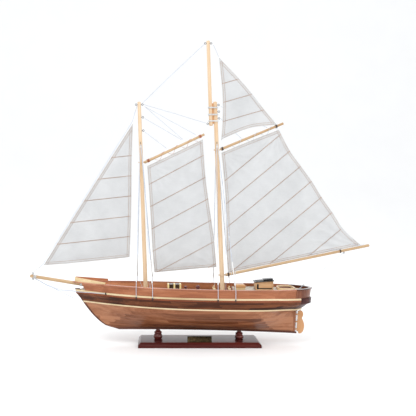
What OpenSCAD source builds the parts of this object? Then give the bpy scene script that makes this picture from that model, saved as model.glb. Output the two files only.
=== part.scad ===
// Display model of a two-masted gaff schooner on a bevelled stand.
// Bow towards -X, stern towards +X, port side towards -Y, +Z up.
// The origin is the centre of the stand's underside.

/* [Stand] */
// Length of the stand's base
base_l = 212; // [200:1:230]
// Width of the stand's base
base_w = 74; // [70:1:90]
// Thickness of the stand's base
base_h = 9; // [8:0.5:12]
// Inset of the bevel round the top of the base
base_bevel = 4.5; // [3:0.5:6]
// Distance of each turned post from the middle of the base
post_x = 71.5; // [65:0.5:75]
// Length of the name plate
plate_l = 42; // [30:1:50]

/* [Hull] */
// Greatest beam over the planking
beam = 100; // [96:1:104]
// Thickness of the stem, keel and sternpost
keel_t = 5; // [4:0.5:6]
// Thickness of the side planking
plank_t = 2.4; // [2:0.1:3]
// Height of the main deck amidships
deck_z = 87.5; // [87:0.5:89]
// Height of the raised quarterdeck
quarter_z = 95; // [94:0.5:96]
// Thickness of the deck
deck_t = 2; // [1.5:0.1:2.5]

/* [Masts and spars] */
// Height of the foremast head
fore_top = 427; // [410:1:440]
// Height of the mainmast head
main_top = 427; // [410:1:440]
// Height of the topmast head
topmast_top = 535; // [500:1:560]
// Forward lean of the foremast
fore_lean = 2; // [1:0.1:3]
// Forward lean of the mainmast
main_lean = 2.25; // [1.5:0.1:3]
// Diameter of the foremast at the deck
fore_d = 7.8; // [7:0.1:8.4]
// Diameter of the mainmast at the deck
main_d = 8.2; // [7:0.1:8.6]
// Diameter of the bowsprit
bowsprit_d = 6; // [5:0.1:7]
// Diameter of the boom
boom_d = 5; // [4:0.1:6]
// Diameter of the gaffs
gaff_d = 4.8; // [4:0.1:5.4]

/* [Rigging] */
// Diameter of the rigging thread
thread_d = 0.9; // [0.6:0.1:1.2]
// Thickness of the sailcloth
sail_t = 0.8; // [0.6:0.1:1.2]

/* [Hidden] */
$fn = 32;

// fits
gap = 0.03;
clear = 0.3;

// masts: where each axis meets the deck's level
step_z = 98;
fore_x = -93.4;
main_x = 42;
heel_z = 72;
function fore_at(z) = fore_x - (z - step_z) * tan(fore_lean);
function main_at(z) = main_x - (z - step_z) * tan(main_lean);
topmast_x = 22;
topmast_z = 385;
topmast_lean = 2;
topmast_d = 6.6;
function topmast_at(z) = topmast_x - (z - topmast_z) * tan(topmast_lean);

// ends of the spars, as [x, z]
bowsprit_out = [-296, 119.5];
bowsprit_in = [-190, 102.5];
boom_in = [48, 121.5];
boom_out = [300, 173.5];
main_gaff_in = [39.5, 343];
main_gaff_out = [149, 388.5];
fore_gaff_in = [-95, 320];
fore_gaff_out = [9.5, 369];

// ---- hull lines: each level is [stem x, stern x, half breadth, bow n, bow q, stern n, stern q]
half_keel = keel_t / 2;
mid_fore = -10;
mid_aft = 70;
strip_h = 3.2;
line_h = 2.4;
cap_h = 1.5;
rail_level = [-222, 198, beam / 2 - 1, 2.4, 1, 2.4, 0.5];
strip_level = [-216, 196, beam / 2, 2.3, 1.05, 2.4, 0.52];
counter_level = [-209.5, 195.2, beam / 2 - 0.8, 2.2, 1.08, 2.3, 0.55];
line_level = [-203, 181.5, beam / 2 - 2.5, 2.2, 1.1, 2.2, 0.6];

function lerp(a, b, t) = a + (b - a) * t;
function rise(x, from, span, power) = pow(max(0, (from - x) / span), power);
function z_rail(x) = 100.9 + 8.6 * rise(x, 80, 280, 1.5) - 0.8 * max(0, (x - 80) / 120) - cap_h;
function z_strip(x) = 86.6 + 10 * rise(x, 80, 296, 1.8) - 0.8 * max(0, (x - 80) / 100)
    - 2 * pow(max(0, x - 112) / 68, 1.5);
function z_line(x) = 67.3 + 9.4 * rise(x, 60, 261, 1.5) - 1.2 * max(0, (x - 60) / 120)
    - 2.6 * pow(max(0, x - 140) / 41, 1.5);
break_x = 62;
function z_deck(x) = x > break_x ? quarter_z : deck_z + 10 * rise(x, 80, 296, 1.8);
function z_keel(x) = 26 - 7.5 * pow(max(0, x + 140) / 320, 2.2);
function stem_x(z) = -140 - 78 * pow(max(0, z - 26) / 72, 0.513);

// half breadth of a level at x, with least half breadths y0 at the bow and y1 at the stern
function breadth(v, x, y0, y1) = x < mid_fore
  ? y0 + (v[2] - y0) * pow(1 - pow(1 - max(0, (x - v[0]) / (mid_fore - v[0])), v[3]), v[4])
  : x <= mid_aft ? v[2]
  : y1 + (v[2] - y1) * pow(max(0, 1 - pow(1 - max(0, (v[1] - x) / (v[1] - mid_aft)), v[5])), v[6]);
function along(v, u) = lerp(v[0], v[1], (1 - cos(180 * u)) / 2);

// a point of the topsides: level v at height z(x), moved inward by d along the plan normal
function plan_point(v, u) = let(x = along(v, u)) [x, breadth(v, x, half_keel + 0.6, 0)];
function plan_normal(v, u) =
  let(a = plan_point(v, max(0, u - 0.004)), b = plan_point(v, min(1, u + 0.004)),
      k = norm(b - a)) [-(b[1] - a[1]) / k, (b[0] - a[0]) / k];
function top_point(v, u, z, d) =
  let(p = plan_point(v, u), n = u > 0.996 ? [1, 0] : plan_normal(v, u),
      bow = u < 0.5 ? half_keel + gap : 0)
  [p[0] - n[0] * d, max(bow, p[1] - n[1] * d), z];

// the lower hull: s runs from 0 under the lower strip to 1 at the keel
function low_level(s) = [
  s == 0 ? -202 : stem_x(lerp(73.6, 30, s)) + 4,
  166.5 + 14.5 * max(0, 1 - s / 0.125),
  half_keel + 0.6 + (line_level[2] - half_keel - 0.6) * pow(1 - pow(s, 2.2), 0.8),
  lerp(2.2, 1.8, s), lerp(1.1, 1.7, s), lerp(2.2, 1.7, s), lerp(0.8, 2.1, s)];
function low_point(s, u) =
  let(v = low_level(s), x = along(v, u), y = half_keel + 0.6)
  [x, breadth(v, x, y, y), lerp(z_line(x) - line_h, z_keel(x) + 4, s)];
function low_normal(s, u) =
  let(a = low_point(s, min(1, u + 0.01)) - low_point(s, max(0, u - 0.01)),
      b = low_point(min(1, s + 0.02), u) - low_point(max(0, s - 0.02), u), n = cross(b, a))
  n / norm(n);
// the planking thins to nothing where it lands on the stem, keel and sternpost
function low_inner(s, u) =
  let(p = low_point(s, u), n = low_normal(s, u), t = plank_t * min(1, 10 * u, 10 * (1 - u)))
  [p[0] - n[0] * t, min(p[1] - 0.5, max(half_keel + gap, p[1] - abs(n[1]) * t)),
   s == 0 ? p[2] - gap : p[2] + abs(n[2]) * t];

// ---- closed solids from grids of points
function flat_list(grid) = [for (row = grid) for (p = row) p];
function quad(a, b, c, d) = [[a, b, c], [a, c, d]];
function volume(p, faces) = [for (f = faces) p[f[0]] * cross(p[f[1]], p[f[2]])]
  * [for (f = faces) 1];
module closed_solid(p, faces) {
  polyhedron(p, volume(p, faces) < 0 ? faces : [for (f = faces) [f[2], f[1], f[0]]]);
}

// a plate between two grids of the same size
module slab(a, b) {
  n = len(a);
  m = len(a[0]);
  k = n * m;
  skin = [for (i = [0:n - 2]) for (j = [0:m - 2]) for (f = quad(i * m + j, (i + 1) * m + j,
    (i + 1) * m + j + 1, i * m + j + 1)) f];
  back = [for (f = skin) [k + f[2], k + f[1], k + f[0]]];
  ends = [for (j = [0:m - 2]) for (f = concat(quad(j + 1, k + j + 1, k + j, j),
    quad((n - 1) * m + j, k + (n - 1) * m + j, k + (n - 1) * m + j + 1, (n - 1) * m + j + 1))) f];
  sides = [for (i = [0:n - 2]) for (f = concat(quad(i * m, k + i * m, k + (i + 1) * m, (i + 1) * m),
    quad((i + 1) * m + m - 1, k + (i + 1) * m + m - 1, k + i * m + m - 1, i * m + m - 1))) f];
  closed_solid(concat(flat_list(a), flat_list(b)), concat(skin, back, ends, sides));
}

// a thread swept along straight stretches between points
function unit(v) = v / norm(v);
function thread_way(p, i) = unit(p[min(len(p) - 1, i + 1)] - p[max(0, i - 1)]);
function thread_ring(c, w, r, sides) =
  let(a = unit(cross(w, abs(w[1]) < 0.9 ? [0, 1, 0] : [1, 0, 0])), b = cross(w, a))
  [for (k = [0:sides - 1]) c + r * (cos(360 * k / sides) * a + sin(360 * k / sides) * b)];
module thread(points, d = thread_d, sides = 8) {
  n = len(points);
  rings = [for (i = [0:n - 1]) thread_ring(points[i], thread_way(points, i), d / 2, sides)];
  walls = [for (i = [0:n - 2]) for (k = [0:sides - 1]) for (f = quad(i * sides + k,
    i * sides + (k + 1) % sides, (i + 1) * sides + (k + 1) % sides, (i + 1) * sides + k)) f];
  caps = [for (k = [1:sides - 2]) for (f = [[0, k + 1, k],
    [(n - 1) * sides, (n - 1) * sides + k, (n - 1) * sides + k + 1]]) f];
  closed_solid(flat_list(rings), concat(walls, caps));
}

// a round spar from one [x, z] end to the other in the middle plane
module spar(a, b, d1, d2) {
  way = b - a;
  translate([a[0], 0, a[1]]) rotate([0, atan2(way[0], way[1]), 0])
    cylinder(h = norm(way), d1 = d1, d2 = d2);
}
// an upright plate in the middle plane, from a list of [x, z] points
module upright(points, t) {
  translate([0, t / 2, 0]) rotate([90, 0, 0]) linear_extrude(t) polygon(points);
}
// a thread band round a spar at distance l from its start
module band(a, b, l, d, w, wall = 0.5) {
  way = b - a;
  translate([a[0], 0, a[1]]) rotate([0, atan2(way[0], way[1]), 0]) translate([0, 0, l])
    rotate_extrude() translate([d / 2 + 0.02, 0]) square([wall, w]);
}
module both_sides() {
  children();
  mirror([0, 1, 0]) children();
}

// ---- stand
module stand_base() {
  color("#5a201c") difference() {
    intersection() {
      translate([0, base_w / 2, 0]) rotate([90, 0, 0]) linear_extrude(base_w)
        polygon(bevelled(base_l / 2));
      translate([-base_l / 2, 0, 0]) rotate([90, 0, 90]) linear_extrude(base_l)
        polygon(bevelled(base_w / 2));
    }
    for (x = [-post_x, post_x]) translate([x, 0, -1]) {
      cylinder(h = base_h + 2, d = screw_hole);
      cylinder(h = screw_sink + 1, d = screw_head + 0.6);
    }
  }
}
bevel_start = 5;
screw_hole = 3.4;
screw_d = 3;
screw_head = 6.4;
screw_sink = 3;
screw_tip = 40;
function bevelled(h) = [[-h, 0], [h, 0], [h, bevel_start], [h - base_bevel, base_h],
  [-h + base_bevel, base_h], [-h, bevel_start]];

module stand_post(x) {
  top = z_keel(x) - base_h - gap;
  color("#5e1e18") translate([x, 0, base_h]) difference() {
    rotate_extrude($fn = 40) scale([1, top / 16.8]) polygon([[0, 0], [6, 0], [6.8, 1.2], [7.7, 3.2],
      [8, 5], [7.5, 7], [6.4, 8.7], [6, 9.6], [6.3, 10.4], [6.8, 11.6], [6.2, 12.8], [4.9, 13.9],
      [3.8, 15.2], [3.3, 16.8], [0, 16.8]]);
    translate([0, 0, -1]) cylinder(h = top + 2, d = screw_hole);
  }
}
module stand_posts() {
  stand_post(-post_x);
  stand_post(post_x);
}

module stand_screws() {
  color("silver") for (x = [-post_x, post_x]) translate([x, 0, 0]) {
    translate([0, 0, 0.6]) cylinder(h = screw_sink - 0.6, d = screw_head);
    translate([0, 0, screw_sink - 0.5]) cylinder(h = screw_tip - screw_sink + 0.5, d = screw_d);
  }
}

plate_y = -25;
module name_plate() {
  color("#4a3d28") translate([0, plate_y, base_h + gap]) rotate([90, 0, 90])
    translate([0, 0, -plate_l / 2]) linear_extrude(plate_l)
    polygon([[-7, 0], [1.6, 0], [1.6, 8.4], [0.4, 9.4], [-0.6, 9.4], [-7, 0.8]]);
}

// ---- hull
frame_x = [-140, -112, -55, 0, 60, 100, 142];
function frame_depth(x) = 0.93 - 0.3 * rise(x, -60, 80, 1) - 0.25 * max(0, (x - 90) / 52);
frame_t = 3;
slot_z = 62;
function under_z(x) = z_deck(x) - deck_t - 0.4;
module keel_backbone() {
  stem = [for (z = [98:-6:32]) [stem_x(z), z]];
  keel = [for (x = [-140:20:160]) [x, z_keel(x)]];
  under_deck = concat([for (x = [186:-24:66]) [x, under_z(x)]], [[66, under_z(break_x)]],
    [for (x = [58:-24:-206]) [x, under_z(x)]]);
  outline = concat(stem, keel, [[172.4, z_keel(172.4)], [172.4, 21.6], [169.2, 21.6],
    [171.6, 57.6], [175.5, 59.6], [177, 64], [178.4, 67.5], [186, 80]], under_deck,
    [[-209.2, under_z(-206)], [-209.2, 97.8], [-214, 98]]);
  color("#5b3422") difference() {
    upright(outline, keel_t);
    for (x = frame_x) translate([x - frame_t / 2 - 0.1, -10, slot_z - 0.2])
      cube([frame_t + 0.2, 20, 60]);
    for (x = [-post_x, post_x]) translate([x, 0, 0]) cylinder(h = screw_tip + 1, d = screw_d + 0.1);
    for (x = [fore_at(80), main_at(80)]) translate([x - 9.2, -10, heel_z - 0.1]) cube([18.4, 20, 40]);
  }
}

// a half frame's outline, clear of the planking's inner face
levels = 6;
function inside_y(v, x) =
  let(y = breadth(v, x, half_keel, 0), dy = breadth(v, x + 1, half_keel, 0) - y)
  y - (plank_t + 0.5) * sqrt(1 + dy * dy);
function frame_side(x) = concat(
  [[inside_y(strip_level, x), z_deck(x) - deck_t - 0.5]],
  [[min(inside_y(strip_level, x), inside_y(line_level, x) + 2), z_strip(x) - strip_h]],
  [for (k = [0:levels]) let(s = frame_depth(x) * k / levels, v = low_level(s),
    y = breadth(v, x, half_keel + 0.6, half_keel + 0.6),
    z = lerp(z_line(x) - line_h, z_keel(x) + 4, s),
    q = low_slope(s, x))
    [max(half_keel + 1, y - (plank_t + 0.6) * q[0]), z + (plank_t + 0.6) * q[1]]]);
// direction of the planking's inward normal in the cross plane, stretched for the run fore and aft
function low_slope(s, x) =
  let(a = low_at(max(0, s - 0.02), x), b = low_at(min(1, s + 0.02), x), d = unit(b - a),
      e = breadth(low_level(s), x + 2, 3, 3) - breadth(low_level(s), x - 2, 3, 3))
  [abs(d[1]), abs(d[0])] * sqrt(1 + e * e / 16);
function low_at(s, x) =
  [breadth(low_level(s), x, 3.1, 3.1), lerp(z_line(x) - line_h, z_keel(x) + 4, s)];
module bulkhead_frames() {
  color("#c9a878") for (x = frame_x) difference() {
    translate([x - frame_t / 2, 0, 0]) rotate([90, 0, 90]) linear_extrude(frame_t)
      polygon(concat(frame_side(x), [for (i = [levels + 2:-1:0]) let(p = frame_side(x)[i]) [-p[0], p[1]]]));
    translate([x - 5, -half_keel - 0.1, 0]) cube([10, keel_t + 0.2, slot_z]);
  }
}

plank_rows = 8;
plank_stations = 30;
module hull_planking() {
  us = [for (i = [0:plank_stations]) i / plank_stations];
  ss = [for (j = [0:plank_rows]) sin(90 * j / plank_rows)];
  slab([for (u = us) [for (s = ss) low_point(s, u) - (s == 0 ? [0, 0, gap] : [0, 0, 0])]],
    [for (u = us) [for (s = ss) low_inner(s, u)]]);
}
module hull_planking_starboard() { color("#8f5535") hull_planking(); }
module hull_planking_port() { color("#8f5535") mirror([0, 1, 0]) hull_planking(); }

// a belt of planking between two levels, from u1 on the port side round the stern, or to u2
stations = 34;
function belt_side(v1, v2, z1, z2, d, u1, u2) = [for (i = [0:stations]) let(u = lerp(u1, u2, i / stations))
  [top_point(v1, u, 0, d) + [0, 0, z1(along(v1, u))], top_point(v2, u, 0, d) + [0, 0, z2(along(v2, u))]]];
function other_side(g) = [for (i = [len(g) - 2:-1:0]) [for (p = g[i]) [p[0], -p[1], p[2]]]];
module belt(v1, v2, z1, z2, out, inn, u1, u2, round_stern) {
  a = belt_side(v1, v2, z1, z2, -out, u1, u2);
  b = belt_side(v1, v2, z1, z2, inn, u1, u2);
  if (round_stern) slab(concat(a, other_side(a)), concat(b, other_side(b)));
  else slab(a, b);
}
// the band's lower half flares to a knuckle round the counter, its upper half stands upright,
// and round the stern it stands proud and rises to the bulwark's foot
function z_knuckle(x) = lerp(z_line(x), z_strip(x) - strip_h, 0.38 + 0.27 * max(0, min(1, (x - 140) / 55)));
function proud(u) = 2.6 * max(0, min(1, (u - 0.84) / 0.08));
function band_side(d, out) = [for (i = [0:stations]) let(u = i / stations, e = d - out * proud(u)) [
  top_point(line_level, u, z_line(along(line_level, u)), d),
  top_point(counter_level, u, z_knuckle(along(counter_level, u)), e),
  top_point(strip_level, u, z_strip(along(strip_level, u)) - strip_h - gap, e)]];
function block_side(d, out) = [for (i = [0:stations]) let(u = lerp(strip_end + 0.002, 1, i / stations),
    e = d - out * proud(u), x = along(strip_level, u)) [
  top_point(strip_level, u, z_strip(x) - strip_h - 0.6, e), top_point(strip_level, u, z_strip(x) - gap, e)]];
strip_top = function(x) z_strip(x) - gap;
strip_bottom = function(x) z_strip(x) - strip_h;
line_top = function(x) z_line(x) - gap;
line_bottom = function(x) z_line(x) - line_h;
side_bottom = function(x) z_strip(x);
side_top = function(x) z_rail(x) - gap;
cap_bottom = function(x) z_rail(x);
cap_top = function(x) z_rail(x) + cap_h;

strip_end = 0.855;
side_start = 0.13;
side_end = 0.822;
module upper_strip() {
  color("#e0c890") both_sides()
    belt(strip_level, strip_level, strip_bottom, strip_top, 0.6, plank_t, 0, strip_end, false);
}
module walnut_band() {
  color("#5a3223") {
    for (g = [[band_side(0, 1), band_side(plank_t, 0)], [block_side(0, 1), block_side(plank_t, 0)]])
      slab(concat(g[0], other_side(g[0])), concat(g[1], other_side(g[1])));
  }
}
module lower_strip() {
  color("#e0c890") belt(line_level, line_level, line_bottom, line_top, 0.25, plank_t, 0, 1, true);
}
module bulwark() {
  belt(strip_level, rail_level, side_bottom, side_top, 0, plank_t - 0.4, side_start, side_end, false);
}
module bulwark_starboard() { color("#c07c50") bulwark(); }
module bulwark_port() { color("#c07c50") mirror([0, 1, 0]) bulwark(); }
module stern_bulwark() {
  color("#7c4228") {
    belt(strip_level, rail_level, side_bottom, side_top, 0, plank_t - 0.4, side_end + 0.002, 1, true);
  }
}
cap_start = 0.03;
module cap_rail() {
  color("#8a4a2c") both_sides()
    belt(rail_level, rail_level, cap_bottom, cap_top, 1.2, 3.6, cap_start, side_end, false);
}
module taffrail() {
  color("#3c1c14")
    belt(rail_level, rail_level, cap_bottom, cap_top, 2.4, 4.4, side_end + 0.002, 1, true);
}
board_top = function(x) z_rail(x) + cap_h + 7.4 - 3.9 * (x + 212) / 50;
board_bottom = function(x) z_rail(x) + cap_h + gap;
board_u1 = 0.064;
board_u2 = 0.245;
module bow_board() {
  belt(rail_level, rail_level, board_bottom, board_top, -0.2, 1.8, board_u1, board_u2, false);
}
module bow_board_starboard() { color("#d9bd85") bow_board(); }
module bow_board_port() { color("#d9bd85") mirror([0, 1, 0]) bow_board(); }

deck_stations = 24;
camber = 0.9;
deck_start = 0.09;
function share_at(v, x) = acos(1 - 2 * (x - v[0]) / (v[1] - v[0])) / 180;
module deck_plate(u1, u2, z) {
  us = [for (i = [0:deck_stations]) lerp(u1, u2, i / deck_stations)];
  edge = [for (u = us) top_point(strip_level, u, 0, plank_t + 0.9)];
  top = [for (p = edge) [for (k = [-1:0.5:1]) [p[0], max(1, p[1]) * k, z(p[0]) + camber * (1 - k * k)]]];
  low = [for (row = top) [for (p = row) [p[0], p[1], z(p[0]) - deck_t]]];
  slab(top, low);
}
main_deck_z = function(x) z_deck(min(x, break_x));
quarterdeck_z = function(x) quarter_z;
module main_deck() {
  color("#cfc4ae") difference() {
    deck_plate(deck_start, share_at(strip_level, break_x + 2), main_deck_z);
    mast_axis(fore_x, fore_lean) translate([0, 0, -20]) cylinder(h = 40, d = fore_d + 0.2);
    mast_axis(main_x, main_lean) translate([0, 0, -20]) cylinder(h = 40, d = main_d + 0.2);
  }
}
module quarterdeck() {
  color("#cfc4ae") deck_plate(share_at(strip_level, break_x), 1, quarterdeck_z);
}
break_w = beam - 2 * plank_t - 3.2;
module break_board() {
  color("#b87a50") translate([break_x - 2, -break_w / 2, deck_z + camber + 0.1])
    cube([1.8, break_w, quarter_z - deck_z]);
}
module mast_axis(x, lean) {
  translate([x, 0, step_z]) rotate([0, -lean, 0]) children();
}
module mast_steps() {
  color("#c9a878") for (m = [[fore_x, fore_lean, fore_d], [main_x, main_lean, main_d]]) {
    x = m[0] - (80 - step_z) * tan(m[1]);
    difference() {
      translate([x - 9, -9, heel_z]) cube([18, 18, z_deck(x) - deck_t - heel_z - 0.5]);
      mast_axis(m[0], m[1]) translate([0, 0, heel_z + 2 - step_z]) cylinder(h = 40, d = m[2] + 0.1);
    }
  }
}

// ---- rudder
rod_d = 2;
rod_low = [170.9, 20.2];
rod_high = [173.6, 58.8];
rod_lean = atan2(rod_high[0] - rod_low[0], rod_high[1] - rod_low[1]);
rudder_t = 3.4;
module rudder() {
  color("#d09260") upright([[172.9, 22.6], [175.4, 22.2], [176, 18.6], [179.4, 18.2], [183.6, 22],
    [185.9, 29], [185.9, 35], [184.2, 41], [182, 45.3], [183.8, 48.6], [184.6, 53], [183.4, 56.6],
    [180.8, 58.9], [177.8, 58.5], [175.4, 57.8], [174.8, 50]], rudder_t);
}
module on_rod(l) {
  translate([rod_low[0], 0, rod_low[1]]) rotate([0, rod_lean, 0]) translate([0, 0, l]) children();
}
module rudder_straps() {
  color("#9c9488") for (l = [5, 18, 31]) {
    on_rod(l) difference() {
      union() {
        cylinder(h = 2, d = rod_d + 1.6);
        translate([0, -rudder_t / 2 - 0.5, 0]) cube([6, rudder_t + 1, 2]);
      }
      translate([0, 0, -1]) cylinder(h = 4, d = rod_d + 0.1);
      translate([rod_d / 2 + 0.75, -rudder_t / 2 - 0.02, -1]) cube([8, rudder_t + 0.04, 4]);
    }
  }
}
module rudder_rod() {
  color("#8f9296") on_rod(0) cylinder(h = norm(rod_high - rod_low), d = rod_d);
}

// ---- deck fittings
function on_deck(x) = z_deck(x) + camber + 0.1;
sky_x = -43;
sky_l = 24;
sky_w = 20;
sky_h = 15.2;
sky_z = on_deck(sky_x - sky_l / 2);
slats = 9;
module skylight_frame() {
  color("#e2c266") translate([sky_x, 0, sky_z]) {
    for (x = [-sky_l / 2, -1.5, sky_l / 2 - 3]) translate([x, -sky_w / 2, 0]) cube([3, sky_w, sky_h]);
    for (z = [0, sky_h]) translate([-sky_l / 2, -sky_w / 2, z]) cube([sky_l, sky_w, 1.1]);
  }
}
module skylight_panes() {
  color("#4a2a24") translate([sky_x, 0, sky_z])
    for (x = [-sky_l / 2 + 3.1, 1.6]) for (k = [0:slats - 1])
      translate([x, 0.6 - sky_w / 2, 1.3 + 1.55 * k]) cube([7.2, sky_w - 1.2, 1.1]);
}
module deck_bitts() {
  color("#6b2c24") {
    translate([-1.5, -2, on_deck(-1.5)]) {
      cylinder(h = 8, d = 4.4);
      translate([0, 0, 10.2]) sphere(d = 7.6);
    }
    translate([-23, -2, on_deck(-23)]) rotate_extrude()
      polygon([[0, 0], [3, 0], [3, 1.4], [2, 2.4], [1.9, 8], [3, 9], [3, 11], [2, 12], [0, 12]]);
  }
}
box_x = 72.6;
module deck_box() {
  color("#dcc292") translate([box_x, 0, on_deck(box_x)]) difference() {
    translate([-8.5, -8, 0]) cube([17, 16, 3.9]);
    translate([-6.5, -6, 1.6]) cube([13, 12, 6]);
  }
}
module deck_box_lid() {
  color("#e6d2a8") translate([box_x, 0, on_deck(box_x) + 4]) intersection() {
    translate([0, 12, 0]) rotate([90, 0, 0]) linear_extrude(24)
      polygon([[-9.5, 0], [9.5, 0], [9.5, 3.4], [6.6, 5.6], [-6.6, 5.6], [-9.5, 3.4]]);
    translate([-12, 0, 0]) rotate([90, 0, 90]) linear_extrude(24)
      polygon([[-9, 0], [9, 0], [9, 3.4], [6.4, 5.6], [-6.4, 5.6], [-9, 3.4]]);
  }
}
cabin_x = 99;
cabin_l = 31;
cabin_w = 24;
cabin_fore_h = 13.2;
cabin_aft_h = 15.6;
wall_t = 2;
roof_t = 1.6;
roof_slope = atan2(cabin_aft_h - cabin_fore_h, cabin_l);
module cabin_shape(inset, low) {
  translate([0, cabin_w / 2 - inset, 0]) rotate([90, 0, 0]) linear_extrude(cabin_w - 2 * inset)
    polygon([[inset, low], [cabin_l - inset, low], [cabin_l - inset, cabin_aft_h - low],
      [inset, cabin_fore_h - low]]);
}
module cabin_house() {
  color("#c99a68") translate([cabin_x, 0, on_deck(cabin_x)]) difference() {
    cabin_shape(0, 0);
    cabin_shape(wall_t, -2);
    for (s = [-1, 1]) translate([4, s * cabin_w / 2 - 0.8, 2]) cube([cabin_l - 8, 1.6, 1.2]);
    for (s = [-1, 1]) translate([4, s * cabin_w / 2 - 0.8, 3]) cube([1.2, 1.6, 6.6]);
  }
}
module on_roof() {
  translate([cabin_x, 0, on_deck(cabin_x) + cabin_fore_h + 0.05]) rotate([0, -roof_slope, 0]) children();
}
module cabin_roof() {
  color("#231a18") on_roof() translate([-1.5, -cabin_w / 2 - 1.5, 0.05])
    cube([cabin_l + 3, cabin_w + 3, roof_t]);
}
module cabin_hatch() {
  color("#161212") on_roof() translate([cabin_l - 16, -8, roof_t + 0.1]) cube([16.5, 16, 2.4]);
}
cockpit_x = 153.5;
cockpit_r = 15;
cockpit_y = 8;
module cockpit_coaming() {
  color("#d9b87c") translate([cockpit_x, 0, on_deck(cockpit_x)]) difference() {
    cockpit_oval(cockpit_r, 4.6);
    translate([0, 0, 0.8]) cockpit_oval(cockpit_r - 2, 10);
  }
}
module cockpit_oval(r, h) {
  linear_extrude(h) {
    for (s = [-1, 1]) translate([0, s * cockpit_y]) circle(r = r);
    square([2 * r, 2 * cockpit_y], center = true);
  }
}
fife_h = 8;
module fife_rail() {
  color("#c79a63") for (r = [[27, 9], [54, 8]]) translate([r[0], 0, on_deck(r[0])]) {
    for (s = [-1, 1]) translate([-1.5, s * r[1] - 1.5, 0]) cube([3, 3, fife_h]);
    translate([-2, -r[1] - 3, fife_h]) cube([4, 2 * r[1] + 6, 1.6]);
  }
}

// ---- spars
module bowsprit() {
  color("#e0b980") spar(bowsprit_in, bowsprit_out, bowsprit_d + 0.4, bowsprit_d - 0.4);
}
module bowsprit_chock() {
  low = 98.2;
  color("#8a4a2c") difference() {
    upright([[-203, low], [-196, low], [-196, 101.2], [-203, 102.4]], 7);
    minus = 0.1;
    spar(bowsprit_in, bowsprit_out, bowsprit_d + 0.4 + minus, bowsprit_d - 0.4 + minus);
  }
}
module foremast() {
  color("#e3bd84") mast_axis(fore_x, fore_lean) translate([0, 0, heel_z + 2.2 - step_z])
    cylinder(h = fore_top - heel_z - 2.2, d1 = fore_d, d2 = fore_d - 1.6);
}
module mainmast() {
  color("#e3bd84") mast_axis(main_x, main_lean) translate([0, 0, heel_z + 2.2 - step_z])
    cylinder(h = main_top - heel_z - 2.2, d1 = main_d, d2 = main_d - 1.2);
}
module topmast() {
  color("#e3bd84") translate([topmast_x, 0, topmast_z]) rotate([0, -topmast_lean, 0])
    cylinder(h = topmast_top - topmast_z, d1 = topmast_d, d2 = topmast_d - 1.4);
}
lashing_z = [391.6, 402.8, 415.1];
module mast_lashings() {
  color("#c9ccd2") for (z = lashing_z) translate([0, 0, z]) linear_extrude(2.6) difference() {
    lashing_outline(z, 1.4);
    lashing_outline(z, 0.25);
  }
}
module lashing_outline(z, more) {
  hull() {
    translate([topmast_at(z), 0]) circle(d = topmast_d + 2 * more);
    translate([main_at(z), 0]) circle(d = main_d - 0.9 + 2 * more);
  }
}
module fore_gaff() { color("#e3bd84") spar(fore_gaff_in, fore_gaff_out, gaff_d, gaff_d - 0.6); }
module main_gaff() { color("#e3bd84") spar(main_gaff_in, main_gaff_out, gaff_d, gaff_d - 0.6); }
module main_boom() { color("#e3bd84") spar(boom_in, boom_out, boom_d, boom_d - 0.4); }

// a collar that turns round a mast at height z and reaches aft to a spar's end
module collar(x, lean, z, bore, reach) {
  mast_axis(x, lean) translate([0, 0, z - step_z]) difference() {
    union() {
      cylinder(h = 2.2, d = bore + 2.4);
      translate([0, -1.1, 0]) cube([reach, 2.2, 2.2]);
    }
    translate([0, 0, -1]) cylinder(h = 5, d = bore);
  }
}
module rig_collars_fore() {
  color("#8c4a2c") collar(fore_x, fore_lean, 319, fore_d - 0.2, 6.6);
}
module rig_collars_main() {
  color("#4a3428") {
    collar(main_x, main_lean, 120.3, main_d + 0.8, 6.6);
    collar(main_x, main_lean, 341, main_d + 0.4, 5.6);
  }
}

// ---- screw eyes: a ring on a shank, the ring standing off a spar
eye_r = 1.5;
wire_r = 0.4;
module eye(x, y, z, turn = 0) {
  translate([x, y, z]) rotate([0, 0, turn]) {
    translate([eye_r + 1, 0, 0]) rotate([90, 0, 0])
      rotate_extrude($fn = 24) translate([eye_r, 0]) circle(r = wire_r, $fn = 16);
    rotate([0, 90, 0]) translate([0, 0, -1]) cylinder(h = 2.1, r = wire_r);
  }
}
module screw_eyes() {
  color("#3a3630") {
    for (t = [0, 180]) eye(topmast_at(530) + 2.6 * cos(t), 0, 530, t);
    for (t = [0, 180]) eye(fore_at(422) + 3.1 * cos(t), 0, 422, t);
    for (z = [399.5, 376]) eye(fore_at(z) + 3.2, 0, z);
    for (z = [421.3, 409.4, 397.6]) eye(main_at(z) + 3.5, 0, z);
    for (t = [-90, 90]) {
      eye(fore_at(354), 3.4 * sin(t), 354, t);
      eye(main_at(354), 3.6 * sin(t), 354, t);
    }
    eye(topmast_at(388) - 3.3, 0, 388, 180);
    translate([bowsprit_out[0] + 3.5, 0, bowsprit_out[1] + 2]) rotate([0, -90, 0]) eye(0, 0, 0);
    translate([bowsprit_out[0] + 3.5, 0, bowsprit_out[1] - 3.2]) rotate([0, 90, 0]) eye(0, 0, 0);
  }
}

// chainplate feet: [x, z] of each shroud's foot; the hull's side gives y
feet = [[-109, 89.4], [-81, 88], [30, 86], [60, 86]];
bow_foot = [-162, 94.2];
function foot_y(x) = breadth(strip_level, x, 3, 0) + 0.6;
module chainplates() {
  color("#4a3c34") both_sides() for (f = concat(feet, [bow_foot]))
    translate([f[0] - 1, foot_y(f[0]) + 0.15, f[1] - 4]) cube([2, 0.9, 3.6]);
}

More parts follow.
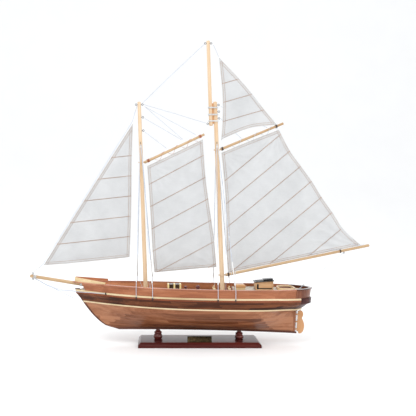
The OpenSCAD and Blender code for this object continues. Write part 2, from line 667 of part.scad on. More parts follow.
// ---- sails, as plane panels of cloth in the middle plane
module sail(points) { color("#e6e8ea") upright(points, sail_t); }
module jib() {
  sail([[-115.8, 389], [-195, 264], [-273.5, 138.5], [-230, 141.6], [-170, 147.6], [-121.8, 152.8],
    [-119, 230], [-118, 330]]);
}
module foresail() {
  sail([[-90.6, 313.4], [-40, 337.6], [7.2, 360.4], [12.6, 290], [22.6, 217], [27.8, 178.5],
    [31.6, 135.2], [5, 133.4], [-50, 128.4], [-78, 125.8], [-81, 161], [-83, 197.5], [-85.4, 240],
    [-88, 280]]);
}
module mainsail() {
  sail([[40.6, 337], [90, 357.4], [141.6, 377.6], [161, 340], [180.5, 312.8], [199.8, 286],
    [218, 256.6], [237.6, 228.8], [256, 201], [286, 174], [220, 160.2], [130, 141.6], [51.5, 125.6],
    [49.8, 164], [48.3, 243], [45.4, 287]]);
}
module topsail() {
  sail([[36, 505], [71.6, 467.3], [94, 441], [116.3, 412.4], [137.6, 386.8], [91, 381],
    [47, 363.6], [40, 358.4], [42.4, 393], [42.9, 425], [41, 457]]);
}

// ---- rigging threads
module forestay() {
  color("#d7dbe2") thread([[-108.4, 0, 420.6], [-117.2, 0, 391.4], [-157, 0, 327.8], [-196.6, 0, 265],
    [-235, 0, 203.6], [-275.4, 0, 139.2], [-291.4, 0, 126.2]]);
}
module bowsprit_stays() {
  color("#c9ccd2") {
    thread([[-289, 0, 114.6], [-266.3, 0, 103.2], [-240, 0, 89.8], [-218.5, 0, 79.6]]);
    both_sides() thread(concat([[-288, 1.6, 114.8], [-266, 3.2, 102.6], [-243, 5.6, 94.6]],
      [for (x = [-218:6:-164]) [x, breadth(strip_level, x, 3, 0) + 1.5, 92.4]]));
  }
}
// shroud route: foot outside the planking, over the rail's edge, up to the mast's eye
function shroud(f, top_x, top_y) =
  let(y = foot_y(f[0]) + 1.5, rail = max(y, breadth(rail_level, f[0], 3, 0) + 2),
      z = z_rail(f[0]) + 1)
  [[f[0], y, f[1] - 1], [f[0], rail, z],
   [lerp(f[0], top_x, 0.3), lerp(rail, top_y, 0.3), lerp(z, 351, 0.3)],
   [lerp(f[0], top_x, 0.6), lerp(rail, top_y, 0.6), lerp(z, 351, 0.6)], [top_x, top_y, 351]];
module shrouds() {
  color("#d7dbe2") both_sides() {
    thread(shroud(feet[0], fore_at(351) - 0.8, 6.6));
    thread(shroud(feet[1], fore_at(351) + 0.8, 6.6));
    thread(shroud(feet[2], main_at(351) - 0.8, 6.8));
    thread(shroud(feet[3], main_at(351) + 0.8, 6.8));
  }
}
module mast_stays() {
  color("#d7dbe2") {
    thread([[9.6, 0, 528], [-45, 0, 476.8], [-98.6, 0, 424.8]]);
    thread([[12.4, 0, 389.4], [-40, 0, 405.4], [-98.2, 0, 422.4]]);
  }
}
// threads that turn with the fore gaff, clear of the mast and its eyes
module fore_halyards() {
  color("#d7dbe2") {
    thread([[-95.6, -1.4, 419], [-60, -1.4, 388], [-28, -1.4, 360.4]]);
    thread([[-94.6, 1.4, 418.4], [-50, 1.4, 393.4], [-5, 1.4, 368.8]]);
    thread([[-95, 0, 397.4], [-60, 0, 377.2], [-30, 0, 359.6]]);
    thread([[-94.6, -0.4, 373.4], [-74, -0.4, 358], [-56.6, -0.4, 344.6]]);
  }
}
// threads that turn with the main gaff, on the starboard side of the topsail
module main_halyards() {
  color("#d7dbe2") {
    thread([[39, 2.4, 419.2], [80, 3, 401], [122, 3.2, 381.2]]);
    thread([[39.4, 2.4, 397.6], [56, 3, 380], [76, 3.4, 362.6]]);
    thread([[26, -3.6, 526.4], [31, -2.4, 516], [35.2, 0, 506.4]]);
  }
}
module sail_sheets() {
  color("#d7dbe2") {
    thread([[-79, 0, 124.4], [-83, 1, 112], [-86, 3, 93.4]]);
    thread([[31.8, 0.6, 134], [30.6, 2, 118], [28, 5, 99.6]]);
    thread([[-96.6, 4.6, 94], [-101, 22, 100], [-105.4, 38.4, 107.6]]);
    thread([[33, -6.1, 351.9], [44.6, -7.4, 250], [47, -8.6, 120], [47.6, -9, 89.4]]);
    thread([[-101, -4.4, 350.4], [-92, -6.4, 240], [-86.6, -8, 93]]);
  }
}
module mainsheet() {
  color("#cfd6e4") {
    thread([[256, 0, 160.8], [243, 0, 150], [230.5, 0, 139.7], [206.7, 0, 119.8], [193, 0, 109.8],
      [184.6, 0, 103.2]]);
    thread([[183.8, -0.4, 102.4], [178, -7, 99], [171.4, -13.6, 96.4]]);
    thread([[183.8, 0.4, 102.4], [182.4, 7, 99], [181, 13.6, 96.4]]);
  }
}

stand_base();
name_plate();
stand_posts();
stand_screws();
keel_backbone();
bulkhead_frames();
hull_planking_port();
hull_planking_starboard();
lower_strip();
walnut_band();
upper_strip();
bulwark_port();
bulwark_starboard();
stern_bulwark();
cap_rail();
taffrail();
bow_board_port();
bow_board_starboard();
main_deck();
quarterdeck();
break_board();
mast_steps();
rudder();
rudder_straps();
rudder_rod();
skylight_frame();
skylight_panes();
deck_bitts();
deck_box();
deck_box_lid();
cabin_house();
cabin_roof();
cabin_hatch();
cockpit_coaming();
fife_rail();
bowsprit_chock();
bowsprit();
foremast();
mainmast();
topmast();
mast_lashings();
fore_gaff();
main_gaff();
main_boom();
rig_collars_fore();
rig_collars_main();
screw_eyes();
chainplates();
jib();
foresail();
mainsail();
topsail();
forestay();
bowsprit_stays();
shrouds();
mast_stays();
fore_halyards();
main_halyards();
sail_sheets();
mainsheet();
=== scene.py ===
import math
import random

import bmesh
import bpy
import numpy as np
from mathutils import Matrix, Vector, noise


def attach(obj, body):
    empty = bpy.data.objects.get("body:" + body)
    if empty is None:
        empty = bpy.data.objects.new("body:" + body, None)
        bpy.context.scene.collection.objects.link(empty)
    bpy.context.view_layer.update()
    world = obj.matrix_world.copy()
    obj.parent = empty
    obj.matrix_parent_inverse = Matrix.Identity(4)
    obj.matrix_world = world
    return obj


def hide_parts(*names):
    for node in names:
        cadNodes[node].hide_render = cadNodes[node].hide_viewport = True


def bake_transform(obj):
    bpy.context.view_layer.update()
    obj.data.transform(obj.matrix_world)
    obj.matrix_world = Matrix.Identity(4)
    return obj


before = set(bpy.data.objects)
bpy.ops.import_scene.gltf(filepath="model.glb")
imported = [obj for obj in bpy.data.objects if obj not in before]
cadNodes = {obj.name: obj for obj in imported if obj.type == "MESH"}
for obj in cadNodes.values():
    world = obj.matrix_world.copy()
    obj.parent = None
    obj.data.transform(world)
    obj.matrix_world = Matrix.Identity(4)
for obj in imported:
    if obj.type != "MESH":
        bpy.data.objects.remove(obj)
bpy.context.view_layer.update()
mm = 0.001

# camera and light, first so that every piece is looked at from the right place
studio = {
    "cameraPlace": (-0.0766, -1.260, 0.273), "lens": 61.78, "shift": (0.127, -0.0457),
    "keyPower": 20, "fillPower": 9, "backPower": 10, "skyStrength": 0.98,
    "floorTone": (0.94, 0.94, 0.94), "floorBack": 2.2, "floorBend": 1.2,  # metres
}


# shapes are lists of points in millimetres and of faces, until solid() makes a mesh of them
def lerp(a, b, t):
    return a + (b - a) * t


def mirrored(point):
    return (point[0], -point[1], point[2])


def joined(shapes):
    points, faces = [], []
    for somePoints, someFaces in shapes:
        start = len(points)
        points += [tuple(p) for p in somePoints]
        faces += [tuple(i + start for i in face) for face in someFaces]
    return points, faces


# skins rings of points; caps close the ends, looped joins the last ring to the first
def loft(rings, closed=True, caps=True, looped=False):
    count, points = len(rings[0]), [p for ring in rings for p in ring]
    faces = []
    last = len(rings) if looped else len(rings) - 1
    for i in range(last):
        j = (i + 1) % len(rings)
        for k in range(count if closed else count - 1):
            n = (k + 1) % count
            faces.append((i * count + k, i * count + n, j * count + n, j * count + k))
    if caps and not looped:
        faces.append(tuple(range(count)))
        faces.append(tuple((len(rings) - 1) * count + k for k in reversed(range(count))))
    return points, faces


# turns a profile of radius and height round an upright axis
def lathe(profile, centre, sides=48):
    rings = [[(centre[0] + r * math.cos(2 * math.pi * k / sides),
               centre[1] + r * math.sin(2 * math.pi * k / sides), centre[2] + z)
              for k in range(sides)] for r, z in profile]
    return loft(rings)


# a plate between an upper and a lower grid of points
def slab(top, low):
    rows, cols = len(top), len(top[0])
    count = rows * cols
    points = [p for row in top for p in row] + [p for row in low for p in row]
    faces = []
    for i in range(rows - 1):
        for j in range(cols - 1):
            a, b, c, d = i * cols + j, (i + 1) * cols + j, (i + 1) * cols + j + 1, i * cols + j + 1
            faces += [(a, b, c, d), (d + count, c + count, b + count, a + count)]
    for i in range(rows - 1):
        for j in (0, cols - 1):
            a, b = i * cols + j, (i + 1) * cols + j
            faces.append((a, b, b + count, a + count))
    for j in range(cols - 1):
        for i in (0, rows - 1):
            a, b = i * cols + j, i * cols + j + 1
            faces.append((a, b, b + count, a + count))
    return points, faces


# a mesh from a shape, with a tone on each face where tones are given
def solid(name, shape, tones=None, sharpAngle=38, bevel=0, bevelSteps=2):
    points, faces = shape
    work = bmesh.new()
    made = [work.verts.new(Vector(p) * mm) for p in points]
    layer = work.faces.layers.float.new("tone") if tones else None
    for number, face in enumerate(faces):
        corners = [made[i] for i in dict.fromkeys(face)]
        if len(corners) > 2 and not work.faces.get(corners):
            fresh = work.faces.new(corners)
            if layer:
                fresh[layer] = tones[number] if number < len(tones) else 0.5
    bmesh.ops.remove_doubles(work, verts=work.verts, dist=0.004 * mm)
    bmesh.ops.recalc_face_normals(work, faces=work.faces)
    if bevel:
        edges = [e for e in work.edges if len(e.link_faces) == 2 and e.calc_face_angle(0) > 0.5]
        bmesh.ops.bevel(work, geom=edges, offset=bevel * mm, segments=bevelSteps, affect="EDGES",
                        profile=0.5, clamp_overlap=True)
    mesh = bpy.data.meshes.new(name)
    work.to_mesh(mesh)
    work.free()
    mesh.shade_smooth()
    mesh.set_sharp_from_angle(angle=math.radians(sharpAngle))
    return linked(name, mesh)


def linked(name, mesh):
    obj = bpy.data.objects.new(name, mesh)
    bpy.context.scene.collection.objects.link(obj)
    return obj


def paint(obj, finish):
    obj.data.materials.clear()
    obj.data.materials.append(finish)


def place(obj, body, slotName, finish, *replaced):
    paint(obj, finish)
    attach(obj, body)
    if replaced:
        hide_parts(*replaced)
    return obj


def block(low, high):
    (x0, y0, z0), (x1, y1, z1) = low, high
    points = [(x, y, z) for x in (x0, x1) for y in (y0, y1) for z in (z0, z1)]
    return points, [(0, 1, 3, 2), (4, 6, 7, 5), (0, 4, 5, 1), (2, 3, 7, 6), (0, 2, 6, 4), (1, 5, 7, 3)]


# an outline pushed along one axis
def prism(outline, start, end, across):
    order = {"x": lambda a, b, d: (d, a, b), "y": lambda a, b, d: (a, d, b), "z": lambda a, b, d: (a, b, d)}
    return loft([[order[across](a, b, start) for a, b in outline],
                 [order[across](a, b, end) for a, b in outline]])


# a smooth line through all the points
def smoothPath(points, pieces=8):
    if len(points) < 3:
        return [tuple(p) for p in points]
    knots = [np.array(p, float) for p in points]
    knots = [2 * knots[0] - knots[1]] + knots + [2 * knots[-1] - knots[-2]]
    path = []
    for i in range(1, len(knots) - 2):
        a, b, c, d = knots[i - 1:i + 3]
        for k in range(pieces):
            t = k / pieces
            path.append(tuple(0.5 * (2 * b + (c - a) * t + (2 * a - 5 * b + 4 * c - d) * t * t
                                     + (3 * b - a - 3 * c + d) * t ** 3)))
    return path + [tuple(knots[-2])]


# a round bar along a path; radii is a number or a rule from 0 to 1 along it
def tube(path, radii, sides=24):
    pts = [np.array(p, float) for p in path]
    radius = radii if callable(radii) else (lambda t: radii)
    ways = [(pts[min(len(pts) - 1, i + 1)] - pts[max(0, i - 1)]) for i in range(len(pts))]
    lengths = np.cumsum([0] + [np.linalg.norm(pts[i + 1] - pts[i]) for i in range(len(pts) - 1)])
    stations = [(pts[i], ways[i], radius(lengths[i] / lengths[-1])) for i in range(len(pts))]
    for last in (False, True):  # a domed end of three rings
        base, way, r = stations[-1] if last else stations[0]
        out = way / np.linalg.norm(way) * (1 if last else -1)
        dome = [(base + out * r * 0.55 * math.sin(a), way, r * math.cos(a)) for a in (0.5, 0.95, 1.3)]
        stations = stations + dome if last else dome[::-1] + stations
    rings = []
    for base, way, r in stations:
        way = way / np.linalg.norm(way)
        side = np.cross(way, (0, 1, 0) if abs(way[1]) < 0.9 else (1, 0, 0))
        side /= np.linalg.norm(side)
        up = np.cross(way, side)
        rings.append([tuple(base + r * (math.cos(2 * math.pi * k / sides) * side
                                        + math.sin(2 * math.pi * k / sides) * up)) for k in range(sides)])
    return loft(rings)


# one shader or geometry node: inputs by name, each a value or another node's output
def addNode(tree, kind, inputs=None, **settings):
    made = tree.nodes.new(kind)
    for key, value in settings.items():
        setattr(made, key, value)
    for key, value in (inputs or {}).items():
        if isinstance(value, bpy.types.NodeSocket):
            tree.links.new(value, made.inputs[key])
        else:
            made.inputs[key].default_value = value
    return made


def newFinish(name, **shader):
    finish = bpy.data.materials.new(name)
    finish.use_nodes = True
    surface = finish.node_tree.nodes["Principled BSDF"]
    for key, value in shader.items():
        surface.inputs[key.replace("_", " ")].default_value = value
    return finish, finish.node_tree, surface


def toneRamp(tree, value, stops):
    ramp = addNode(tree, "ShaderNodeValToRGB", {"Fac": value})
    while len(ramp.color_ramp.elements) < len(stops):
        ramp.color_ramp.elements.new(0.5)
    for element, (position, tone) in zip(ramp.color_ramp.elements, stops):
        element.position = position
        element.color = (*tone, 1)
    return ramp.outputs["Color"]


def stretched(tree, source, scale, turn=(0, 0, 0)):
    return addNode(tree, "ShaderNodeMapping",
                   {"Vector": source, "Scale": scale, "Rotation": turn}).outputs["Vector"]


def spread(tree, value, low, high):
    return addNode(tree, "ShaderNodeMapRange",
                   {"Value": value, "To Min": low, "To Max": high}).outputs["Result"]


def objectPlace(tree):
    return addNode(tree, "ShaderNodeTexCoord").outputs["Object"]


def noisy(tree, source, scale, detail, **more):
    return addNode(tree, "ShaderNodeTexNoise",
                   {"Vector": source, "Scale": scale, "Detail": detail, **more}).outputs["Fac"]


def worked(tree, operation, *values):
    return addNode(tree, "ShaderNodeMath", dict(enumerate(values)), operation=operation).outputs[0]


def bumped(tree, surface, height, strength, distance):
    bump = addNode(tree, "ShaderNodeBump",
                   {"Height": height, "Strength": strength, "Distance": distance * mm})
    tree.links.new(bump.outputs["Normal"], surface.inputs["Normal"])


woodGrain = {"figureAlong": 5, "figureAcross": 85, "poreAlong": 45, "poreAcross": 950}


def woodFinish(name, dark, middle, light, grain="x", turn=(0, 0, 0), rough=(0.35, 0.5), relief=0.25,
               planked=0, coat=(0, 0.03), **shader):
    finish, tree, surface = newFinish(name, **{"Coat_IOR": 1.27, "Specular_IOR_Level": 0.2,
                                               "Coat_Weight": coat[0], "Coat_Roughness": coat[1], **shader})
    here = stretched(tree, objectPlace(tree), (1, 1, 1), turn)

    def grainScale(along, across):
        return tuple(along if axis == grain else across for axis in "xyz")
    figure = stretched(tree, here, grainScale(woodGrain["figureAlong"], woodGrain["figureAcross"]))
    pores = stretched(tree, here, grainScale(woodGrain["poreAlong"], woodGrain["poreAcross"]))
    broad = noisy(tree, figure, 1, 5, Roughness=0.62, Distortion=0.6)
    fine = noisy(tree, pores, 1, 4, Roughness=0.7)
    mixed = worked(tree, "MULTIPLY", broad, 0.72)
    mixed = worked(tree, "MULTIPLY_ADD", fine, 0.28, mixed)
    if planked:  # each plank a little lighter or darker than the next
        tone = addNode(tree, "ShaderNodeAttribute", attribute_name="tone").outputs["Fac"]
        tone = spread(tree, tone, -planked / 2, planked / 2)
        mixed = worked(tree, "ADD", mixed, tone)
    colour = toneRamp(tree, mixed, [(0.3, dark), (0.5, middle), (0.68, light)])
    tree.links.new(colour, surface.inputs["Base Color"])
    tree.links.new(spread(tree, fine, rough[0], rough[1]), surface.inputs["Roughness"])
    bumped(tree, surface, fine, relief, 0.12)
    return finish


def metalFinish(name, dark, light, rough=(0.3, 0.5), relief=0.3, metallic=1.0, **shader):
    finish, tree, surface = newFinish(name, Metallic=metallic, **shader)
    here = objectPlace(tree)
    patch = noisy(tree, here, 320, 6, Roughness=0.65)
    grain = noisy(tree, stretched(tree, here, (400, 3000, 3000)), 1, 3)
    tree.links.new(toneRamp(tree, patch, [(0.35, dark), (0.65, light)]), surface.inputs["Base Color"])
    tree.links.new(spread(tree, patch, rough[1], rough[0]), surface.inputs["Roughness"])
    bumped(tree, surface, grain, relief, 0.05)
    return finish


def threadFinish(name, dark, light):
    finish, tree, surface = newFinish(name, Sheen_Weight=0.25, Sheen_Roughness=0.4)
    here = objectPlace(tree)
    fibre, soil = noisy(tree, here, 2600, 3), noisy(tree, here, 90, 2)
    mixed = worked(tree, "MULTIPLY", fibre, 0.6)
    mixed = worked(tree, "MULTIPLY_ADD", soil, 0.4, mixed)
    tree.links.new(toneRamp(tree, mixed, [(0.35, dark), (0.62, light)]), surface.inputs["Base Color"])
    tree.links.new(spread(tree, fibre, 0.7, 0.9), surface.inputs["Roughness"])
    bumped(tree, surface, fibre, 0.4, 0.08)
    return finish


def clothFinish(name, shade, light):
    finish, tree, surface = newFinish(name, Sheen_Weight=0.18, Sheen_Roughness=0.5)
    here = objectPlace(tree)
    weave = 0.36  # from one thread of the cloth to the next
    waves = {"Vector": here, "Scale": 2 * math.pi / (20 * weave * mm), "Distortion": 0.6, "Detail": 1,
             "Detail Scale": 1.2}
    warp, weft = (addNode(tree, "ShaderNodeTexWave", waves, bands_direction=way).outputs["Fac"]
                  for way in "XZ")
    threads = worked(tree, "MAXIMUM", warp, weft)
    cloud = noisy(tree, here, 22, 5, Roughness=0.6)
    slub = noisy(tree, stretched(tree, here, (90, 90, 1400)), 1, 3)
    mixed = worked(tree, "MULTIPLY_ADD", slub, 0.3, cloud)
    tree.links.new(toneRamp(tree, mixed, [(0.4, shade), (0.85, light)]), surface.inputs["Base Color"])
    tree.links.new(spread(tree, slub, 0.82, 0.95), surface.inputs["Roughness"])
    bumped(tree, surface, threads, 0.35, 0.08)
    return finish


pineTones = ((0.50, 0.315, 0.17), (0.66, 0.475, 0.305), (0.78, 0.625, 0.45))
# the bowsprit, boom and gaffs: a darker copy of the pine tones, painted shade
shadedSparTones = ((0.34, 0.20, 0.095), (0.50, 0.335, 0.19), (0.64, 0.475, 0.295))
finishes = {
    "base": woodFinish("lacqueredMahogany", (0.024, 0.0032, 0.003), (0.060, 0.0085, 0.0075),
                       (0.105, 0.018, 0.013), rough=(0.3, 0.4), relief=0.03, coat=(0.5, 0.03),
                       Specular_IOR_Level=0.08),
    "post": woodFinish("turnedMahogany", (0.045, 0.006, 0.005), (0.105, 0.017, 0.013), (0.18, 0.038, 0.026),
                       grain="z", rough=(0.3, 0.4), relief=0.04, coat=(1.0, 0.04),
                       Coat_IOR=1.5, Specular_IOR_Level=0.1),
    "hull": woodFinish("hullMahogany", (0.112, 0.032, 0.011), (0.26, 0.096, 0.043), (0.41, 0.18, 0.092),
                       planked=0.4, rough=(0.3, 0.42), relief=0.12, coat=(0.5, 0.14)),
    # the keel's wood is painted darker than the hull mahogany: painted shade along the hull's bottom
    "keel": woodFinish("keelMahoganyPaintedShade", (0.040, 0.013, 0.008), (0.090, 0.030, 0.018), (0.16, 0.060, 0.036),
                       rough=(0.32, 0.45), relief=0.12, coat=(0.4, 0.16)),
    "sternPost": woodFinish("postMahogany", (0.17, 0.057, 0.026), (0.30, 0.118, 0.056), (0.41, 0.185, 0.10),
                        grain="z", rough=(0.32, 0.45), relief=0.12, coat=(0.4, 0.16)),
    "bulwark": woodFinish("bulwarkMahogany", (0.23, 0.070, 0.030), (0.36, 0.130, 0.060), (0.49, 0.205, 0.105),
                          planked=0.12, rough=(0.3, 0.42), relief=0.12, coat=(0.45, 0.14)),
    # a lighter copy of the bulwark mahogany: painted light on the inner faces, which lie in shade
    "inner": woodFinish("innerMahoganyPaintedLit", (0.33, 0.110, 0.048), (0.54, 0.205, 0.095), (0.68, 0.31, 0.16),
                        rough=(0.35, 0.5), relief=0.12, coat=(0.3, 0.16)),
    "moulding": woodFinish("mouldingMahogany", (0.20, 0.060, 0.026), (0.33, 0.118, 0.056),
                           (0.45, 0.185, 0.098), rough=(0.25, 0.36), relief=0.1, coat=(0.6, 0.1)),
    "stern": woodFinish("sternMahogany", (0.070, 0.017, 0.007), (0.165, 0.047, 0.019), (0.28, 0.096, 0.042),
                        grain="z", rough=(0.25, 0.36), relief=0.12, coat=(0.8, 0.09)),
    "walnut": woodFinish("walnut", (0.028, 0.0085, 0.0042), (0.078, 0.0225, 0.0092), (0.19, 0.063, 0.024),
                         planked=0.26, rough=(0.32, 0.45), relief=0.12, coat=(0.4, 0.12),
                         Specular_IOR_Level=0.12),
    "edge": woodFinish("redEdge", (0.13, 0.028, 0.010), (0.22, 0.055, 0.020), (0.32, 0.095, 0.04),
                       rough=(0.3, 0.42), relief=0.12, coat=(0.4, 0.13)),
    "block": woodFinish("counterMahogany", (0.020, 0.007, 0.007), (0.050, 0.015, 0.014), (0.10, 0.033, 0.029),
                        rough=(0.3, 0.4), relief=0.08, coat=(0.35, 0.1),
                        Specular_IOR_Level=0.08),
    "lid": woodFinish("lidWood", (0.40, 0.19, 0.075), (0.58, 0.32, 0.145), (0.70, 0.44, 0.23),
                      rough=(0.15, 0.25), relief=0.08, coat=(1.0, 0.05)),
    "maple": woodFinish("mapleStrip", (0.50, 0.37, 0.20), (0.67, 0.53, 0.33), (0.78, 0.665, 0.46),
                        rough=(0.32, 0.45), relief=0.08, coat=(0.35, 0.15)),
    # mahogany, lighter and pinker than the bulwark: a painted varnish highlight on the rail's own colour
    "cap": woodFinish("capMahoganyPaintedHighlight", (0.27, 0.090, 0.045), (0.46, 0.185, 0.108), (0.61, 0.29, 0.185),
                      rough=(0.2, 0.3), relief=0.08, coat=(0.9, 0.07)),
    "darkRail": woodFinish("darkRail", (0.030, 0.009, 0.006), (0.080, 0.024, 0.015), (0.15, 0.050, 0.030),
                           rough=(0.15, 0.25), relief=0.06, coat=(1.0, 0.04)),
    "deck": woodFinish("deckWood", (0.40, 0.34, 0.26), (0.56, 0.50, 0.41), (0.68, 0.62, 0.53),
                       planked=0.2, rough=(0.45, 0.6), relief=0.2, coat=(0.15, 0.3)),
    "spar": woodFinish("sparPine", *pineTones, grain="z", rough=(0.36, 0.5), relief=0.12, coat=(0.3, 0.2)),
    "light": woodFinish("lightWood", (0.50, 0.34, 0.165), (0.65, 0.49, 0.27), (0.76, 0.62, 0.40),
                        rough=(0.35, 0.5), relief=0.12, coat=(0.3, 0.18)),
    "rudder": woodFinish("rudderWood", (0.38, 0.165, 0.064), (0.54, 0.27, 0.12), (0.66, 0.385, 0.20),
                         grain="z", rough=(0.32, 0.45), relief=0.12, coat=(0.4, 0.15)),
    "cabin": woodFinish("cabinWood", (0.42, 0.215, 0.095), (0.60, 0.36, 0.185), (0.73, 0.51, 0.31),
                        rough=(0.3, 0.45), relief=0.12, coat=(0.5, 0.12)),
    "coaming": woodFinish("coamingMaple", (0.50, 0.32, 0.14), (0.68, 0.48, 0.25), (0.80, 0.62, 0.38),
                          rough=(0.25, 0.36), relief=0.08, coat=(0.7, 0.1)),
    "yellow": woodFinish("yellowBoxwood", (0.60, 0.43, 0.15), (0.75, 0.58, 0.26), (0.83, 0.69, 0.38),
                         grain="z", rough=(0.3, 0.45), relief=0.1, coat=(0.4, 0.14)),
    "red": woodFinish("darkRedWood", (0.05, 0.010, 0.010), (0.13, 0.028, 0.024), (0.22, 0.055, 0.042),
                      grain="z", rough=(0.2, 0.32), relief=0.06, coat=(0.9, 0.06)),
    "pane": woodFinish("paneWood", (0.030, 0.017, 0.009), (0.085, 0.050, 0.026), (0.15, 0.095, 0.052),
                       rough=(0.3, 0.42), relief=0.1, coat=(0.5, 0.12)),
    "ply": woodFinish("framePly", (0.42, 0.30, 0.16), (0.58, 0.44, 0.27), (0.70, 0.57, 0.38), grain="z"),
    "roof": woodFinish("blackStain", (0.006, 0.005, 0.005), (0.014, 0.011, 0.010), (0.030, 0.022, 0.019),
                       rough=(0.25, 0.38), relief=0.1, coat=(0.6, 0.12)),
    "brass": metalFinish("antiqueBrass", (0.014, 0.010, 0.006), (0.065, 0.045, 0.022), rough=(0.3, 0.5)),
    "steel": metalFinish("screwSteel", (0.42, 0.42, 0.43), (0.66, 0.66, 0.68), rough=(0.25, 0.4)),
    "rod": metalFinish("drawnWire", (0.62, 0.62, 0.63), (0.84, 0.84, 0.85), rough=(0.2, 0.3), relief=0.1),
    "eye": metalFinish("blackenedWire", (0.010, 0.009, 0.012), (0.032, 0.030, 0.036), rough=(0.4, 0.55),
                       metallic=0.35),
    "thread": threadFinish("riggingThread", (0.40, 0.45, 0.54), (0.64, 0.69, 0.78)),
    "white": threadFinish("whiteCord", (0.58, 0.58, 0.58), (0.88, 0.88, 0.87)),
    "orange": threadFinish("orangeTwine", (0.30, 0.065, 0.025), (0.58, 0.17, 0.065)),
    "darkTwine": threadFinish("darkTwine", (0.020, 0.012, 0.010), (0.085, 0.045, 0.035)),
    "stitch": threadFinish("brownStitch", (0.26, 0.125, 0.065), (0.46, 0.27, 0.165)),
    "cloth": clothFinish("sailcloth", (0.49, 0.495, 0.50), (0.575, 0.58, 0.585)),
    # a little darker than the sailcloth: painted shade of the doubled cloth, through which less light passes
    "hem": clothFinish("hemCloth", (0.48, 0.48, 0.48), (0.565, 0.565, 0.56)),
}
print("finishes mixed")


# a geometry node tree with named inputs, and its group input's sockets
def newTree(name, sockets):
    tree = bpy.data.node_groups.new(name, "GeometryNodeTree")
    tree.interface.new_socket("Geometry", in_out="INPUT", socket_type="NodeSocketGeometry")
    for label, kind in sockets.items():
        tree.interface.new_socket(label, in_out="INPUT", socket_type="NodeSocket" + kind)
    tree.interface.new_socket("Geometry", in_out="OUTPUT", socket_type="NodeSocketGeometry")
    return tree, tree.nodes.new("NodeGroupInput").outputs


def endTree(tree, geometry, material, smooth=True):
    shaded = addNode(tree, "GeometryNodeSetShadeSmooth", {"Geometry": geometry, "Shade Smooth": smooth})
    real = addNode(tree, "GeometryNodeRealizeInstances", {"Geometry": shaded.outputs[0]})
    dressed = addNode(tree, "GeometryNodeSetMaterial", {"Geometry": real.outputs[0], "Material": material})
    addNode(tree, "NodeGroupOutput", {0: dressed.outputs[0]})
    return tree


def ropeTree():
    tree, given = newTree("laidRope", {"Radius": "Float", "Step": "Float", "Lay": "Float",
                                       "Finish": "Material"})
    path = addNode(tree, "GeometryNodeMeshToCurve", {"Mesh": given["Geometry"]}).outputs[0]
    path = addNode(tree, "GeometryNodeResampleCurve", {"Curve": path, "Length": given["Step"]},
                   mode="LENGTH").outputs[0]
    along = addNode(tree, "GeometryNodeSplineParameter").outputs["Length"]
    turn = worked(tree, "MULTIPLY", along, given["Lay"])
    path = addNode(tree, "GeometryNodeSetCurveTilt", {"Curve": path, "Tilt": turn}).outputs[0]
    inner = worked(tree, "MULTIPLY", given["Radius"], 0.76)
    section = addNode(tree, "GeometryNodeCurveStar", {"Points": 3, "Inner Radius": inner,
                                                      "Outer Radius": given["Radius"]}).outputs[0]
    rope = addNode(tree, "GeometryNodeCurveToMesh", {"Curve": path, "Profile Curve": section,
                                                     "Fill Caps": True}).outputs[0]
    return endTree(tree, rope, given["Finish"])


def stitchTree():
    tree, given = newTree("stitches", {"Pitch": "Float", "Length": "Float", "Radius": "Float",
                                       "Finish": "Material"})
    path = addNode(tree, "GeometryNodeMeshToCurve", {"Mesh": given["Geometry"]}).outputs[0]
    spots = addNode(tree, "GeometryNodeCurveToPoints", {"Curve": path, "Length": given["Pitch"]},
                    mode="LENGTH")
    aim = addNode(tree, "FunctionNodeAlignRotationToVector", {"Vector": spots.outputs["Tangent"]}, axis="Z")
    bead = addNode(tree, "GeometryNodeMeshCylinder", {"Vertices": 6, "Radius": given["Radius"],
                                                      "Depth": given["Length"]}).outputs["Mesh"]
    placed = addNode(tree, "GeometryNodeInstanceOnPoints", {
        "Points": spots.outputs["Points"], "Instance": bead, "Rotation": aim.outputs[0]}).outputs[0]
    return endTree(tree, placed, given["Finish"])


def slatTree():
    tree, given = newTree("slats", {"Count": "Int", "Pitch": "Float", "Length": "Float", "Width": "Float",
                                    "Thickness": "Float", "Finish": "Material"})
    step = addNode(tree, "ShaderNodeCombineXYZ", {"Z": given["Pitch"]}).outputs[0]
    spots = addNode(tree, "GeometryNodeMeshLine", {"Count": given["Count"], "Offset": step}).outputs[0]
    half = worked(tree, "MULTIPLY", given["Length"], 0.5)
    less = worked(tree, "MULTIPLY", half, -1.0)
    line = addNode(tree, "GeometryNodeCurvePrimitiveLine", {
        "Start": addNode(tree, "ShaderNodeCombineXYZ", {"Y": less}).outputs[0],
        "End": addNode(tree, "ShaderNodeCombineXYZ", {"Y": half}).outputs[0]}).outputs[0]
    section = addNode(tree, "GeometryNodeCurvePrimitiveQuadrilateral", {
        "Width": given["Width"], "Height": given["Thickness"]}).outputs[0]
    radius = worked(tree, "MULTIPLY", given["Thickness"], 0.3)
    section = addNode(tree, "GeometryNodeFilletCurve", {"Curve": section, "Radius": radius, "Count": 3},
                      mode="POLY").outputs[0]
    bar = addNode(tree, "GeometryNodeCurveToMesh", {"Curve": line, "Profile Curve": section,
                                                    "Fill Caps": True}).outputs[0]
    placed = addNode(tree, "GeometryNodeInstanceOnPoints", {"Points": spots, "Instance": bar}).outputs[0]
    row = addNode(tree, "GeometryNodeRealizeInstances", {"Geometry": placed}).outputs[0]
    moved = addNode(tree, "GeometryNodeInstanceOnPoints",
                    {"Points": given["Geometry"], "Instance": row}).outputs[0]
    return endTree(tree, moved, given["Finish"], smooth=False)


trees = {"rope": ropeTree(), "stitch": stitchTree(), "slat": slatTree()}


